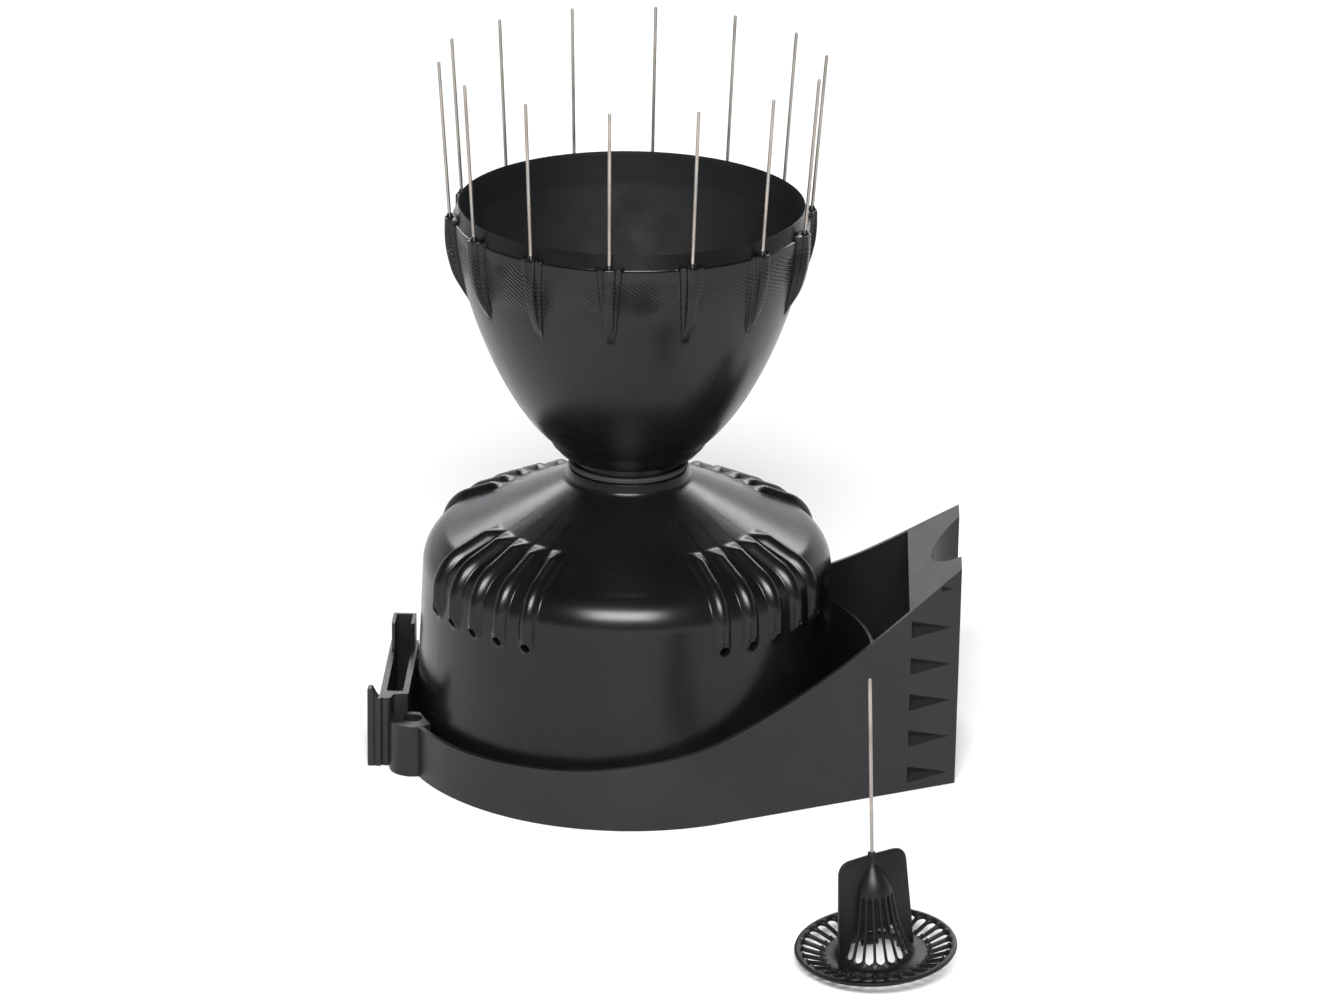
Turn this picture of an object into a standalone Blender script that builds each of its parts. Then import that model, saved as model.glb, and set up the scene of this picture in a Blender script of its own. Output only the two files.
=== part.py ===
"""Tipping bucket rain collector on a mast-mount base, with its loose debris screen.

The origin is on the collector's axis at the underside of the base, +X points to the
mast flange and +Z up.  Lengths are in metres.
"""

import math

import bmesh
import bpy
from mathutils import Matrix, Vector

MM = 0.001
GAP = 0.3 * MM
SEGMENTS = 40

# Mounting base: a round tray with two straight side walls that run to the mast flange.
TRAY_R = 111.6 * MM
WALL = 2.6 * MM
FLOOR_T = 3.0 * MM
TAPER = math.radians(26.5)
FLANGE_X = 162.0 * MM
SADDLE_X = 137.4 * MM
WALL_SWEEP = (
    (-112.0 * MM, 25.5 * MM),
    (-60.0 * MM, 27.0 * MM),
    (0.0 * MM, 31.5 * MM),
    (50.0 * MM, 42.0 * MM),
    (105.0 * MM, 70.0 * MM),
    (162.0 * MM, 111.5 * MM),
)
BULKHEAD_R = 122.5 * MM
BULKHEAD_TOP = 50.0 * MM

# Fixing ears beside the accessory rail.
EAR_RADIUS = 110.0 * MM
EAR_ANGLE = math.radians(157.5)
EAR_R = 11.5 * MM
EAR_TOP = 26.0 * MM
EAR_HOLE_R = 2.6 * MM
EAR_SINK_R = 4.5 * MM
EAR_INNER_R = 104.6 * MM

# Accessory rail: two upright plates joined at the near end, a curled hook and a post.
RAIL_TOP = 35.5 * MM
RAIL_HALF = 34.5 * MM
RAIL_OUTER_X = -118.2 * MM
RAIL_INNER_X = -104.4 * MM
RAIL_PLATE = 2.9 * MM
RAIL_NEAR = -41.0 * MM
HOOK_TOP = 40.5 * MM
HOOK_CENTRE = (-120.6 * MM, -38.4 * MM)
POST_TOP = 50.0 * MM
POST_NEAR = 20.0 * MM

# Mast saddle: thick toothed cheeks, a round channel for the mast and a sloping top.
CHEEK_T = 8.5 * MM
CHANNEL_HALF = 27.0 * MM
CHANNEL_DEPTH = 13.9 * MM
CHANNEL_WALL = 2.6 * MM
LAND_T = 4.0 * MM
TOP_T = 2.8 * MM
TOOTH_PITCH = 18.9 * MM
TOOTH_H = 9.4 * MM
TOOTH_DEPTH = 6.0 * MM
TOOTH_COUNT = 5
BOLT_R = 2.8 * MM
BOLT_Y = 32.0 * MM
BOLT_Z = (30.0 * MM, 78.0 * MM)

# Dome cover: upright wall, rounded shoulder and a shallow cone up to the collar.
DOME_FOOT_Z = FLOOR_T + GAP
DOME_FOOT_R = 103.2 * MM
DOME_SHOULDER_R = 99.5 * MM
DOME_FILLET = 20.0 * MM
DOME_SLOPE = math.radians(25.0)
DOME_WALL = 2.4 * MM
COLLAR_R = 29.7 * MM
COLLAR_FOOT_Z = 139.4 * MM
COLLAR_TOP_Z = 144.6 * MM
COLLAR_BORE_R = 25.0 * MM

# Louvres: four groups of five raised hoods that bend over the shoulder.
LOUVRE_GROUPS = 4
LOUVRES_IN_GROUP = 5
LOUVRE_FIRST = math.radians(46.8)
LOUVRE_STEP = math.radians(9.0)
LOUVRE_W = 8.4 * MM
LOUVRE_H = 2.7 * MM
LOUVRE_FOOT_Z = 81.0 * MM
LOUVRE_HEAD_R = 74.5 * MM

# Collector cone: a 165 mm orifice with a knife edge over a deep curved bowl.
ORIFICE_R = 82.5 * MM
RIM_Z = 277.65 * MM
BAND_FOOT_Z = 270.6 * MM
BAND_R = 84.3 * MM
BOWL_TOP_R = 85.4 * MM
BOWL_TOP_Z = 270.2 * MM
BOWL_LIP_R = 38.9 * MM
BOWL_LIP_Z = 160.0 * MM
BOWL_FOOT_R = 33.4 * MM
BOWL_FOOT_Z = 152.8 * MM
BOWL_LOW_HANDLE = 35.7 * MM
BOWL_LOW_ANGLE = math.radians(48.6)
BOWL_HIGH_HANDLE = 28.4 * MM
BOWL_HIGH_ANGLE = math.radians(2.2)
BOWL_WALL = 2.2 * MM
SPIGOT_R = 26.8 * MM
SPIGOT_BORE_R = 22.0 * MM
SPIGOT_FOOT_Z = COLLAR_TOP_Z + GAP

# Bird spikes: thin wires, one in each boss around the rim.
SPIKE_COUNT = 14
SPIKE_FIRST = math.radians(-94.6)
SPIKE_R = 0.8 * MM
SPIKE_FOOT_R = 86.1 * MM
SPIKE_FOOT_Z = 262.0 * MM
SPIKE_TIP_R = 92.0 * MM
SPIKE_TIP_Z = 348.5 * MM
BOSS_W = 6.0 * MM
BOSS_R = 89.2 * MM
BOSS_TOP_Z = 272.0 * MM
BOSS_POINT_Z = 229.5 * MM

# Inner funnel under the neck.
FUNNEL_RIM_R = 24.6 * MM
FUNNEL_RIM_Z = 144.3 * MM
NOZZLE_R = 6.0 * MM
NOZZLE_BORE_R = 3.6 * MM
NOZZLE_Z = 92.0 * MM

# Tipping bucket and its pivot.
PIVOT_Z = 45.0 * MM
TIP_ANGLE = math.radians(20.0)
BUCKET_HALF = 44.0 * MM
BUCKET_W = 34.0 * MM
BUCKET_WALL = 1.8 * MM
BUCKET_FLOOR = 3.0 * MM
BUCKET_PEAK = 31.0 * MM
BUCKET_END = 12.0 * MM
AXLE_R = 1.5 * MM
BRACKET_Y = 21.5 * MM
BRACKET_T = 3.0 * MM
STOP_X = 33.0 * MM

# Debris screen standing in front of the flange, tipped a little on its snap feet.
SCREEN_X = 123.2 * MM
SCREEN_Y = -249.4 * MM
SCREEN_RAISE = 1.5 * MM
SCREEN_TILT = (math.radians(3.1), math.radians(-3.8), 0.0)
SCREEN_R = 36.7 * MM
SCREEN_RIM_Z = 8.6 * MM
SCREEN_T = 2.2 * MM
SCREEN_RIM_W = 2.5 * MM
SCREEN_FLANGE_R = 22.5 * MM
SCREEN_FLANGE_Z = 4.4 * MM
SCREEN_CONE_R = 16.6 * MM
SCREEN_CONE_T = 1.6 * MM
SCREEN_FOOT_R = 17.6 * MM
SCREEN_FOOT_GAP = 4.5 * MM
SCREEN_APEX_Z = 48.8 * MM
SCREEN_VANE_Z = 53.8 * MM
SCREEN_VANE_T = 1.6 * MM
SCREEN_KNOB_R = 2.1 * MM
SCREEN_SLOTS = 32
SCREEN_RIB_ANGLE = math.radians(-1.5)
SCREEN_CONE_SLOTS = 18
SCREEN_VANE_ANGLE = math.radians(28.6)
SCREEN_SPIKE_FOOT_Z = 50.0 * MM
SCREEN_SPIKE_TIP_Z = 141.0 * MM
SCREEN_SPIKE_LEAN = math.radians(1.6)

PLASTIC_BLACK = (0.018, 0.018, 0.020, 1.0)
PLASTIC_CHARCOAL = (0.032, 0.032, 0.036, 1.0)
RUBBER_BLACK = (0.012, 0.012, 0.012, 1.0)
STEEL = (0.52, 0.50, 0.47, 1.0)
BRASS = (0.58, 0.42, 0.18, 1.0)
GLASS = (0.65, 0.80, 0.72, 1.0)
WHITE_PLASTIC = (0.70, 0.70, 0.66, 1.0)


# ---------------------------------------------------------------- scene helpers

def clear_scene():
    """Remove every object, so the script can be run twice."""
    for obj in list(bpy.data.objects):
        bpy.data.objects.remove(obj, do_unlink=True)


def make_collection(name, hidden):
    """Add a collection to the scene."""
    group = bpy.data.collections.new(name)
    bpy.context.scene.collection.children.link(group)
    group.hide_render = hidden
    return group


clear_scene()
PARTS = make_collection("Rain collector", False)
CUTTERS = make_collection("Cutters", True)


def make_material(name, colour, roughness, metallic=0.0):
    """A Principled material with the part's own colour."""
    mat = bpy.data.materials.new(name)
    mat.use_nodes = True
    shader = mat.node_tree.nodes["Principled BSDF"]
    shader.inputs["Base Color"].default_value = colour
    shader.inputs["Roughness"].default_value = roughness
    shader.inputs["Metallic"].default_value = metallic
    return mat


GLOSS = make_material("Black collector plastic", PLASTIC_BLACK, 0.28)
SATIN = make_material("Charcoal base plastic", PLASTIC_CHARCOAL, 0.50)
RUBBER = make_material("Black rubber", RUBBER_BLACK, 0.75)
STAINLESS = make_material("Stainless wire", STEEL, 0.25, 1.0)
YELLOW_METAL = make_material("Brass", BRASS, 0.30, 1.0)
CLEAR = make_material("Glass", GLASS, 0.05)
PALE = make_material("White plastic", WHITE_PLASTIC, 0.45)


def put_in(obj, group):
    """Move an object into one collection only."""
    for old in list(obj.users_collection):
        old.objects.unlink(obj)
    group.objects.link(obj)


def finish_part(obj, name, material):
    """Name a part, give it its material and smooth its round faces."""
    obj.name = name
    obj.data.name = name
    obj.data.materials.clear()
    obj.data.materials.append(material)
    put_in(obj, PARTS)
    return obj


def make_cutter(obj, name):
    """Hide a solid that only shapes another one."""
    obj.name = name
    put_in(obj, CUTTERS)
    obj.hide_render = True
    obj.display_type = "WIRE"
    return obj


def combine(target, tool, operation):
    """Add an exact Boolean to a part."""
    make_cutter(tool, target.name + " tool")
    mod = target.modifiers.new(operation.title(), "BOOLEAN")
    mod.operation = operation
    mod.solver = "EXACT"
    mod.object = tool
    return target


def cut(target, tool):
    return combine(target, tool, "DIFFERENCE")


def add(target, tool):
    return combine(target, tool, "UNION")


# ---------------------------------------------------------------- solid helpers

def mesh_object(name, bm):
    """Turn a bmesh into an object."""
    bmesh.ops.recalc_face_normals(bm, faces=bm.faces)
    mesh = bpy.data.meshes.new(name)
    bm.to_mesh(mesh)
    bm.free()
    obj = bpy.data.objects.new(name, mesh)
    bpy.context.scene.collection.objects.link(obj)
    return obj


def box(low, high, name="box"):
    """A box between two corners."""
    bm = bmesh.new()
    bmesh.ops.create_cube(bm, size=1.0)
    for vert in bm.verts:
        for axis in range(3):
            vert.co[axis] = low[axis] if vert.co[axis] < 0 else high[axis]
    return mesh_object(name, bm)


def cylinder(radius, low, high, centre=(0.0, 0.0), segments=24, top_radius=None, name="cylinder"):
    """An upright cylinder or cone frustum."""
    bm = bmesh.new()
    top = radius if top_radius is None else top_radius
    place = Matrix.Translation((centre[0], centre[1], (low + high) / 2))
    bmesh.ops.create_cone(
        bm, cap_ends=True, segments=segments, radius1=radius, radius2=top,
        depth=high - low, matrix=place)
    return mesh_object(name, bm)


def rod(start, end, radius, segments=12, name="rod"):
    """A round rod between two points."""
    start = Vector(start)
    end = Vector(end)
    bm = bmesh.new()
    turn = (end - start).to_track_quat("Z", "Y").to_matrix().to_4x4()
    place = Matrix.Translation((start + end) / 2) @ turn
    bmesh.ops.create_cone(
        bm, cap_ends=True, segments=segments, radius1=radius, radius2=radius,
        depth=(end - start).length, matrix=place)
    return mesh_object(name, bm)


def turned(profile, name="turned", steps=SEGMENTS):
    """Revolve a closed (radius, height) loop that runs down its outer side."""
    bm = bmesh.new()
    verts = [bm.verts.new((radius, 0.0, height)) for radius, height in profile]
    for index, vert in enumerate(verts):
        bm.edges.new((vert, verts[(index + 1) % len(verts)]))
    mesh = bpy.data.meshes.new(name)
    bm.to_mesh(mesh)
    bm.free()
    obj = bpy.data.objects.new(name, mesh)
    bpy.context.scene.collection.objects.link(obj)
    screw = obj.modifiers.new("Turn", "SCREW")
    screw.axis = "Z"
    screw.angle = math.tau
    screw.steps = steps
    screw.render_steps = steps
    screw.use_merge_vertices = True
    screw.merge_threshold = 0.00001
    return obj


def prism(outline, thickness, place=None, name="prism"):
    """A flat outline made solid: a filled curve, extruded and converted to a mesh."""
    curve = bpy.data.curves.new(name, "CURVE")
    curve.dimensions = "2D"
    curve.fill_mode = "BOTH"
    curve.extrude = thickness / 2
    spline = curve.splines.new("POLY")
    spline.points.add(len(outline) - 1)
    for point, (across, along) in zip(spline.points, outline):
        point.co = (across, along, 0.0, 1.0)
    spline.use_cyclic_u = True
    guide = bpy.data.objects.new(name, curve)
    bpy.context.scene.collection.objects.link(guide)
    depsgraph = bpy.context.evaluated_depsgraph_get()
    mesh = bpy.data.meshes.new_from_object(guide.evaluated_get(depsgraph))
    bpy.data.objects.remove(guide, do_unlink=True)
    bm = bmesh.new()
    bm.from_mesh(mesh)
    bpy.data.meshes.remove(mesh)
    bmesh.ops.remove_doubles(bm, verts=bm.verts, dist=0.000001)
    if place is not None:
        bmesh.ops.transform(bm, matrix=place, verts=bm.verts)
    return mesh_object(name, bm)


def upright(outline, low, high, name="upright"):
    """Extrude a plan outline from one height to another."""
    place = Matrix.Translation((0.0, 0.0, (low + high) / 2))
    return prism(outline, high - low, place, name)


def radial_place(angle):
    """Stand a (radius, height) outline up in the radial plane at an angle."""
    stand = Matrix.Rotation(math.pi / 2, 4, "X")
    return Matrix.Rotation(angle, 4, "Z") @ stand


def merged(objects, name="merged"):
    """Gather solids that don't touch into one mesh, for one Boolean."""
    bm = bmesh.new()
    for obj in objects:
        bm.from_mesh(obj.data)
        bpy.data.objects.remove(obj, do_unlink=True)
    mesh = bpy.data.meshes.new(name)
    bm.to_mesh(mesh)
    bm.free()
    result = bpy.data.objects.new(name, mesh)
    bpy.context.scene.collection.objects.link(result)
    return result


def arc_points(radius, start, end, count, centre=(0.0, 0.0)):
    """Points along an arc, ends included."""
    points = []
    for step in range(count + 1):
        angle = start + (end - start) * step / count
        x = centre[0] + radius * math.cos(angle)
        y = centre[1] + radius * math.sin(angle)
        points.append((x, y))
    return points


def sweep_height(x):
    """Height of the side wall's top edge, a smooth curve through WALL_SWEEP."""
    knots = WALL_SWEEP
    slopes = []
    for index in range(len(knots)):
        before = knots[max(index - 1, 0)]
        after = knots[min(index + 1, len(knots) - 1)]
        slopes.append((after[1] - before[1]) / (after[0] - before[0]))
    for index in range(len(knots) - 1):
        x0, z0 = knots[index]
        x1, z1 = knots[index + 1]
        if x <= x1 or index == len(knots) - 2:
            span = x1 - x0
            t = (x - x0) / span
            a = (2 * t ** 3 - 3 * t ** 2 + 1) * z0
            b = (t ** 3 - 2 * t ** 2 + t) * span * slopes[index]
            c = (-2 * t ** 3 + 3 * t ** 2) * z1
            d = (t ** 3 - t ** 2) * span * slopes[index + 1]
            return a + b + c + d
    return knots[-1][1]


# ---------------------------------------------------------------- mounting base

def side_point(x, inset):
    """Y of the +Y side wall's face at x, moved inward by inset."""
    reach = TRAY_R - inset
    return (reach - x * math.sin(TAPER)) / math.cos(TAPER)


def tray_half(inset, start_angle, end_x, count=20):
    """Half plan outline on the +Y side, from the rail round to the flange."""
    radius = TRAY_R - inset
    tangent = math.pi / 2 - TAPER
    points = arc_points(radius, start_angle, tangent, count)
    points.append((end_x, side_point(end_x, inset)))
    return points


def sweep_remover():
    """Everything above the side walls' swept top edge."""
    steps = 26
    low = -130 * MM
    high = 170 * MM
    outline = []
    for step in range(steps + 1):
        x = low + (high - low) * step / steps
        outline.append((x, sweep_height(x)))
    outline.append((high, 200 * MM))
    outline.append((low, 200 * MM))
    stand = Matrix.Rotation(math.pi / 2, 4, "X")
    return prism(outline, 0.4, stand, "above the sweep")


def wall_start(radius):
    """Angle at which a wall circle meets the rail's end."""
    return math.pi - math.asin(RAIL_HALF / radius)


def ear_centre(side):
    """Plan position of a fixing ear's hole."""
    return (EAR_RADIUS * math.cos(EAR_ANGLE), side * EAR_RADIUS * math.sin(EAR_ANGLE))


def build_side_wall(side, name):
    """One long wall: half of the ring, the straight side and a fixing ear."""
    outer = tray_half(0.0, wall_start(TRAY_R), SADDLE_X - GAP)
    inner = tray_half(WALL, wall_start(TRAY_R - WALL), SADDLE_X - GAP)
    outline = [(x, side * y) for x, y in outer + inner[::-1]]
    wall = upright(outline, 0.0, 150 * MM, name)
    centre = ear_centre(side)
    ear = cylinder(EAR_R, 0.0, EAR_TOP, centre, 28)
    cut(ear, cylinder(EAR_INNER_R, -1 * MM, 70 * MM, segments=90))
    rail_low = min(side * RAIL_HALF, -side * 20 * MM)
    rail_high = max(side * RAIL_HALF, -side * 20 * MM)
    cut(ear, box((-140 * MM, rail_low, -1 * MM), (-90 * MM, rail_high, 160 * MM)))
    cut(wall, sweep_remover())
    add(wall, ear)
    cut(wall, cylinder(EAR_HOLE_R, -1 * MM, 40 * MM, centre, 16))
    cut(wall, cylinder(EAR_SINK_R, 17 * MM, 40 * MM, centre, 20))
    return finish_part(wall, name, SATIN)


def build_floor():
    """The tray's floor plate, with drain, cable and screw openings."""
    inset = WALL + GAP
    half = tray_half(inset, wall_start(TRAY_R - inset), SADDLE_X - GAP)
    mirrored = [(x, -y) for x, y in half[::-1]]
    floor = upright(half + mirrored, 0.0, FLOOR_T, "base_floor")
    holes = []
    for side in (-1, 1):
        holes.append(cylinder(9.4 * MM, -1 * MM, 6 * MM, (side * 58 * MM, 0.0), 20))
    holes.append(cylinder(6.4 * MM, -1 * MM, 6 * MM, (0.0, 72 * MM), 16))
    for side in (-1, 1):
        holes.append(cylinder(EAR_R + GAP, -1 * MM, 6 * MM, ear_centre(side), 28))
    cut(floor, merged(holes))
    rail_edge = RAIL_INNER_X + GAP
    cut(floor, box((-140 * MM, -RAIL_HALF, -1 * MM), (rail_edge, RAIL_HALF, 6 * MM)))
    return finish_part(floor, "base_floor", SATIN)


def build_bulkhead():
    """The curved partition between the round tray and the open flange bay."""
    reach = math.acos((TRAY_R - WALL - GAP) / BULKHEAD_R)
    start = math.pi / 2 - TAPER - reach
    lean = start - 0.012
    outer = arc_points(BULKHEAD_R, -lean, lean, 16)
    inner = arc_points(BULKHEAD_R - 2.0 * MM, lean, -lean, 16)
    wall = upright(outer + inner, FLOOR_T + GAP, BULKHEAD_TOP, "bay_bulkhead")
    return finish_part(wall, "bay_bulkhead", SATIN)


def build_rail():
    """Accessory rail on the side away from the mast."""
    left = RAIL_OUTER_X
    right = RAIL_INNER_X
    plate = RAIL_PLATE
    far = RAIL_HALF - GAP
    step_x = -113.4 * MM
    outline = [
        (left, RAIL_NEAR), (step_x, RAIL_NEAR), (step_x, -far), (right, -far), (right, far),
        (right - plate, far), (right - plate, -far + plate), (left + plate, -far + plate),
        (left + plate, far), (left, far)]
    rail = upright(outline, 0.0, RAIL_TOP, "accessory_rail")
    add(rail, box((left + 1 * MM, -far + 1 * MM, 0.0), (right - 1 * MM, far, 8.0 * MM)))
    hook = arc_points(3.4 * MM, 0.0, -math.pi, 8, HOOK_CENTRE)
    lip_y = HOOK_CENTRE[1] + 3.0 * MM
    hook += [(HOOK_CENTRE[0] - 3.4 * MM, lip_y), (HOOK_CENTRE[0] - 1.2 * MM, lip_y)]
    hook += arc_points(1.2 * MM, -math.pi, 0.0, 6, HOOK_CENTRE)
    add(rail, upright(hook, 0.0, HOOK_TOP, "hook"))
    inner_low = left + plate + 1.4 * MM
    inner_high = right - plate - 1.4 * MM
    post_low = (left + 1.2 * MM, POST_NEAR, 0.0)
    post_high = (right - 1.2 * MM, far, POST_TOP)
    add(rail, box(post_low, post_high))
    cut(rail, box((inner_low, POST_NEAR - 2 * MM, 12 * MM), (inner_high, far - plate, 60 * MM)))
    return finish_part(rail, "accessory_rail", SATIN)


def channel_arc(extra, count=12):
    """Plan arc of the mast channel, grown by extra; it opens to +X."""
    radius = (CHANNEL_HALF ** 2 + CHANNEL_DEPTH ** 2) / (2 * CHANNEL_DEPTH)
    centre = (FLANGE_X + radius - CHANNEL_DEPTH, 0.0)
    grown = radius + extra
    reach = math.acos((centre[0] - FLANGE_X) / grown)
    return arc_points(grown, math.pi + reach, math.pi - reach, count, centre)


def build_saddle():
    """Mast saddle: cheeks with wedge teeth, channel wall, bolt lands and sloping top."""
    top = [(SADDLE_X, side_point(SADDLE_X, 0.0)), (FLANGE_X, side_point(FLANGE_X, 0.0))]
    outline = top + [(x, -y) for x, y in top[::-1]]
    saddle = upright(outline, 0.0, 150 * MM, "mast_saddle")
    cut(saddle, sweep_remover())
    inner = channel_arc(CHANNEL_WALL)
    bay_back = FLANGE_X - LAND_T
    side_y = side_point(SADDLE_X, CHEEK_T)
    land_y = side_point(bay_back, CHEEK_T)
    bay = [(SADDLE_X - 5 * MM, side_y), (SADDLE_X - 5 * MM, -side_y), (bay_back, -land_y)]
    bay += [point for point in inner if point[0] < bay_back - 0.1 * MM]
    bay += [(bay_back, land_y)]
    low_edge = sweep_height(SADDLE_X) - TOP_T
    high_edge = sweep_height(FLANGE_X) - TOP_T
    hollow = upright(bay, FLOOR_T, 140 * MM, "bay")
    slope = (high_edge - low_edge) / (FLANGE_X - SADDLE_X)
    for vert in hollow.data.vertices:
        if vert.co.z > 100 * MM:
            vert.co.z = low_edge + slope * (vert.co.x - SADDLE_X)
    cut(saddle, hollow)
    mast = [(x, y) for x, y in channel_arc(0.0)]
    mast += [(FLANGE_X + 5 * MM, CHANNEL_HALF), (FLANGE_X + 5 * MM, -CHANNEL_HALF)]
    cut(saddle, upright(mast, -1 * MM, 150 * MM, "mast space"))
    holes = []
    for side in (-1, 1):
        for height in BOLT_Z:
            start = (bay_back - 12 * MM, side * BOLT_Y, height)
            end = (FLANGE_X + 5 * MM, side * BOLT_Y, height)
            holes.append(rod(start, end, BOLT_R, 14))
    cut(saddle, merged(holes))
    cut(saddle, merged(tooth_wedges()))
    return finish_part(saddle, "mast_saddle", SATIN)


def tooth_wedges():
    """Wedge pockets in both cheeks, deep at the tray side and vanishing at the flange."""
    wedges = []
    along = Vector((math.cos(TAPER), -math.sin(TAPER), 0.0))
    outward = Vector((math.sin(TAPER), math.cos(TAPER), 0.0))
    start_x = SADDLE_X + 1.2 * MM
    start = Vector((start_x, side_point(start_x, 0.0), 0.0))
    length = (FLANGE_X - start_x - 1.6 * MM) / math.cos(TAPER)
    for side in (1, -1):
        for index in range(TOOTH_COUNT):
            middle = 8.6 * MM + index * TOOTH_PITCH
            bm = bmesh.new()
            lift = Vector((0.0, 0.0, 1.0))
            base = start + lift * middle
            corners = [
                base + outward * 1.0 * MM + lift * TOOTH_H * 0.55,
                base + outward * 1.0 * MM - lift * TOOTH_H * 0.55,
                base - outward * TOOTH_DEPTH,
                base + along * length + outward * 0.6 * MM,
            ]
            for corner in corners:
                if side < 0:
                    corner.y = -corner.y
                bm.verts.new(corner)
            bmesh.ops.convex_hull(bm, input=bm.verts)
            wedges.append(mesh_object("tooth", bm))
    return wedges


# ---------------------------------------------------------------- bucket works

def build_bracket(side, name):
    """An upright that holds one end of the bucket's axle."""
    outline = [
        (-16 * MM, FLOOR_T + GAP), (16 * MM, FLOOR_T + GAP), (14 * MM, 12 * MM),
        (6 * MM, PIVOT_Z + 7 * MM), (-6 * MM, PIVOT_Z + 7 * MM), (-14 * MM, 12 * MM)]
    middle = side * (BRACKET_Y + BRACKET_T / 2)
    stand = Matrix.Translation((0.0, middle, 0.0)) @ Matrix.Rotation(math.pi / 2, 4, "X")
    bracket = prism(outline, BRACKET_T, stand, name)
    foot_low = (-16 * MM, min(side * BRACKET_Y, side * 38 * MM), FLOOR_T + GAP)
    foot_high = (16 * MM, max(side * BRACKET_Y, side * 38 * MM), FLOOR_T + GAP + 3 * MM)
    add(bracket, box(foot_low, foot_high))
    start = (0.0, side * 18 * MM, PIVOT_Z)
    end = (0.0, side * 30 * MM, PIVOT_Z)
    cut(bracket, rod(start, end, AXLE_R + GAP, 16))
    cut(bracket, cylinder(1.8 * MM, 0.0, 12 * MM, (0.0, side * 31 * MM), 12))
    return finish_part(bracket, name, PALE)


def build_screw(centre, low, shank_r, head_r, shank_h, head_h, name, material):
    """A screw with a cross recess, head up."""
    screw = cylinder(shank_r, low, low + shank_h + 0.2 * MM, centre, 12)
    add(screw, cylinder(head_r, low + shank_h, low + shank_h + head_h, centre, 16, head_r * 0.8))
    top = low + shank_h + head_h
    slot_low = (centre[0] - head_r * 0.55, centre[1] - 0.35 * MM, top - 0.7 * MM)
    slot_high = (centre[0] + head_r * 0.55, centre[1] + 0.35 * MM, top + 1 * MM)
    cut(screw, box(slot_low, slot_high))
    return finish_part(screw, name, material)


def tip(obj, pivot):
    """Hang a part and its cutters on the bucket's axle, tipped to its stop."""
    for piece in [obj] + [mod.object for mod in obj.modifiers if mod.type == "BOOLEAN"]:
        piece.parent = pivot
        piece.rotation_euler = (0.0, TIP_ANGLE, 0.0)


def build_bucket(pivot):
    """Twin-compartment bucket, modelled level about its axle and then tipped."""
    half_w = BUCKET_W / 2
    outline = [
        (-BUCKET_HALF, BUCKET_END), (-BUCKET_HALF, BUCKET_END - 3.4 * MM), (-7 * MM, -BUCKET_FLOOR),
        (7 * MM, -BUCKET_FLOOR), (BUCKET_HALF, BUCKET_END - 3.4 * MM), (BUCKET_HALF, BUCKET_END),
        (3 * MM, BUCKET_PEAK), (-3 * MM, BUCKET_PEAK)]
    stand = Matrix.Rotation(math.pi / 2, 4, "X")
    bucket = prism(outline, BUCKET_W, stand, "tipping_bucket")
    pockets = []
    for side in (-1, 1):
        pocket = [
            (side * 1.0 * MM, 1.4 * MM + BUCKET_FLOOR * 0.5), (side * 7 * MM, 1.4 * MM),
            (side * (BUCKET_HALF + 6 * MM), BUCKET_END - 0.4 * MM),
            (side * (BUCKET_HALF + 6 * MM), BUCKET_PEAK + 8 * MM), (side * 1.0 * MM, BUCKET_PEAK + 8 * MM)]
        pockets.append(prism(pocket, BUCKET_W - 2 * BUCKET_WALL, stand, "pocket"))
    cut(bucket, merged(pockets))
    half = half_w - 0.4 * MM
    add(bucket, rod((0.0, -half, -1.0 * MM), (0.0, half, -1.0 * MM), 4.6 * MM, 16))
    cut(bucket, rod((0.0, -half_w - 3 * MM, 0.0), (0.0, half_w + 3 * MM, 0.0), AXLE_R + GAP, 16))
    cut(bucket, box((-6 * MM, half_w - 0.7 * MM, 12 * MM), (6 * MM, half_w + 5 * MM, 18 * MM)))
    finish_part(bucket, "tipping_bucket", PALE)
    tip(bucket, pivot)
    magnet = box((-5 * MM, half_w - 0.4 * MM, 12.5 * MM), (5 * MM, half_w + 2.2 * MM, 17.5 * MM))
    finish_part(magnet, "bucket_magnet", STAINLESS)
    tip(magnet, pivot)
    axle = rod((0.0, -BRACKET_Y - 2.6 * MM, 0.0), (0.0, BRACKET_Y + 2.6 * MM, 0.0), AXLE_R, 16)
    finish_part(axle, "pivot_axle", STAINLESS)
    tip(axle, pivot)


def bucket_contact_height():
    """Height of the bucket's underside above a stop, when it rests there."""
    rise = (BUCKET_END - 3.4 * MM + BUCKET_FLOOR) / (BUCKET_HALF - 7 * MM)
    cosine = math.cos(TIP_ANGLE)
    low_x = 7 * MM * cosine - BUCKET_FLOOR * math.sin(TIP_ANGLE)
    low_z = PIVOT_Z - BUCKET_FLOOR * cosine - 7 * MM * math.sin(TIP_ANGLE)
    tipped = math.atan(rise) - TIP_ANGLE
    return low_z + (STOP_X - low_x) * math.tan(tipped)


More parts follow.
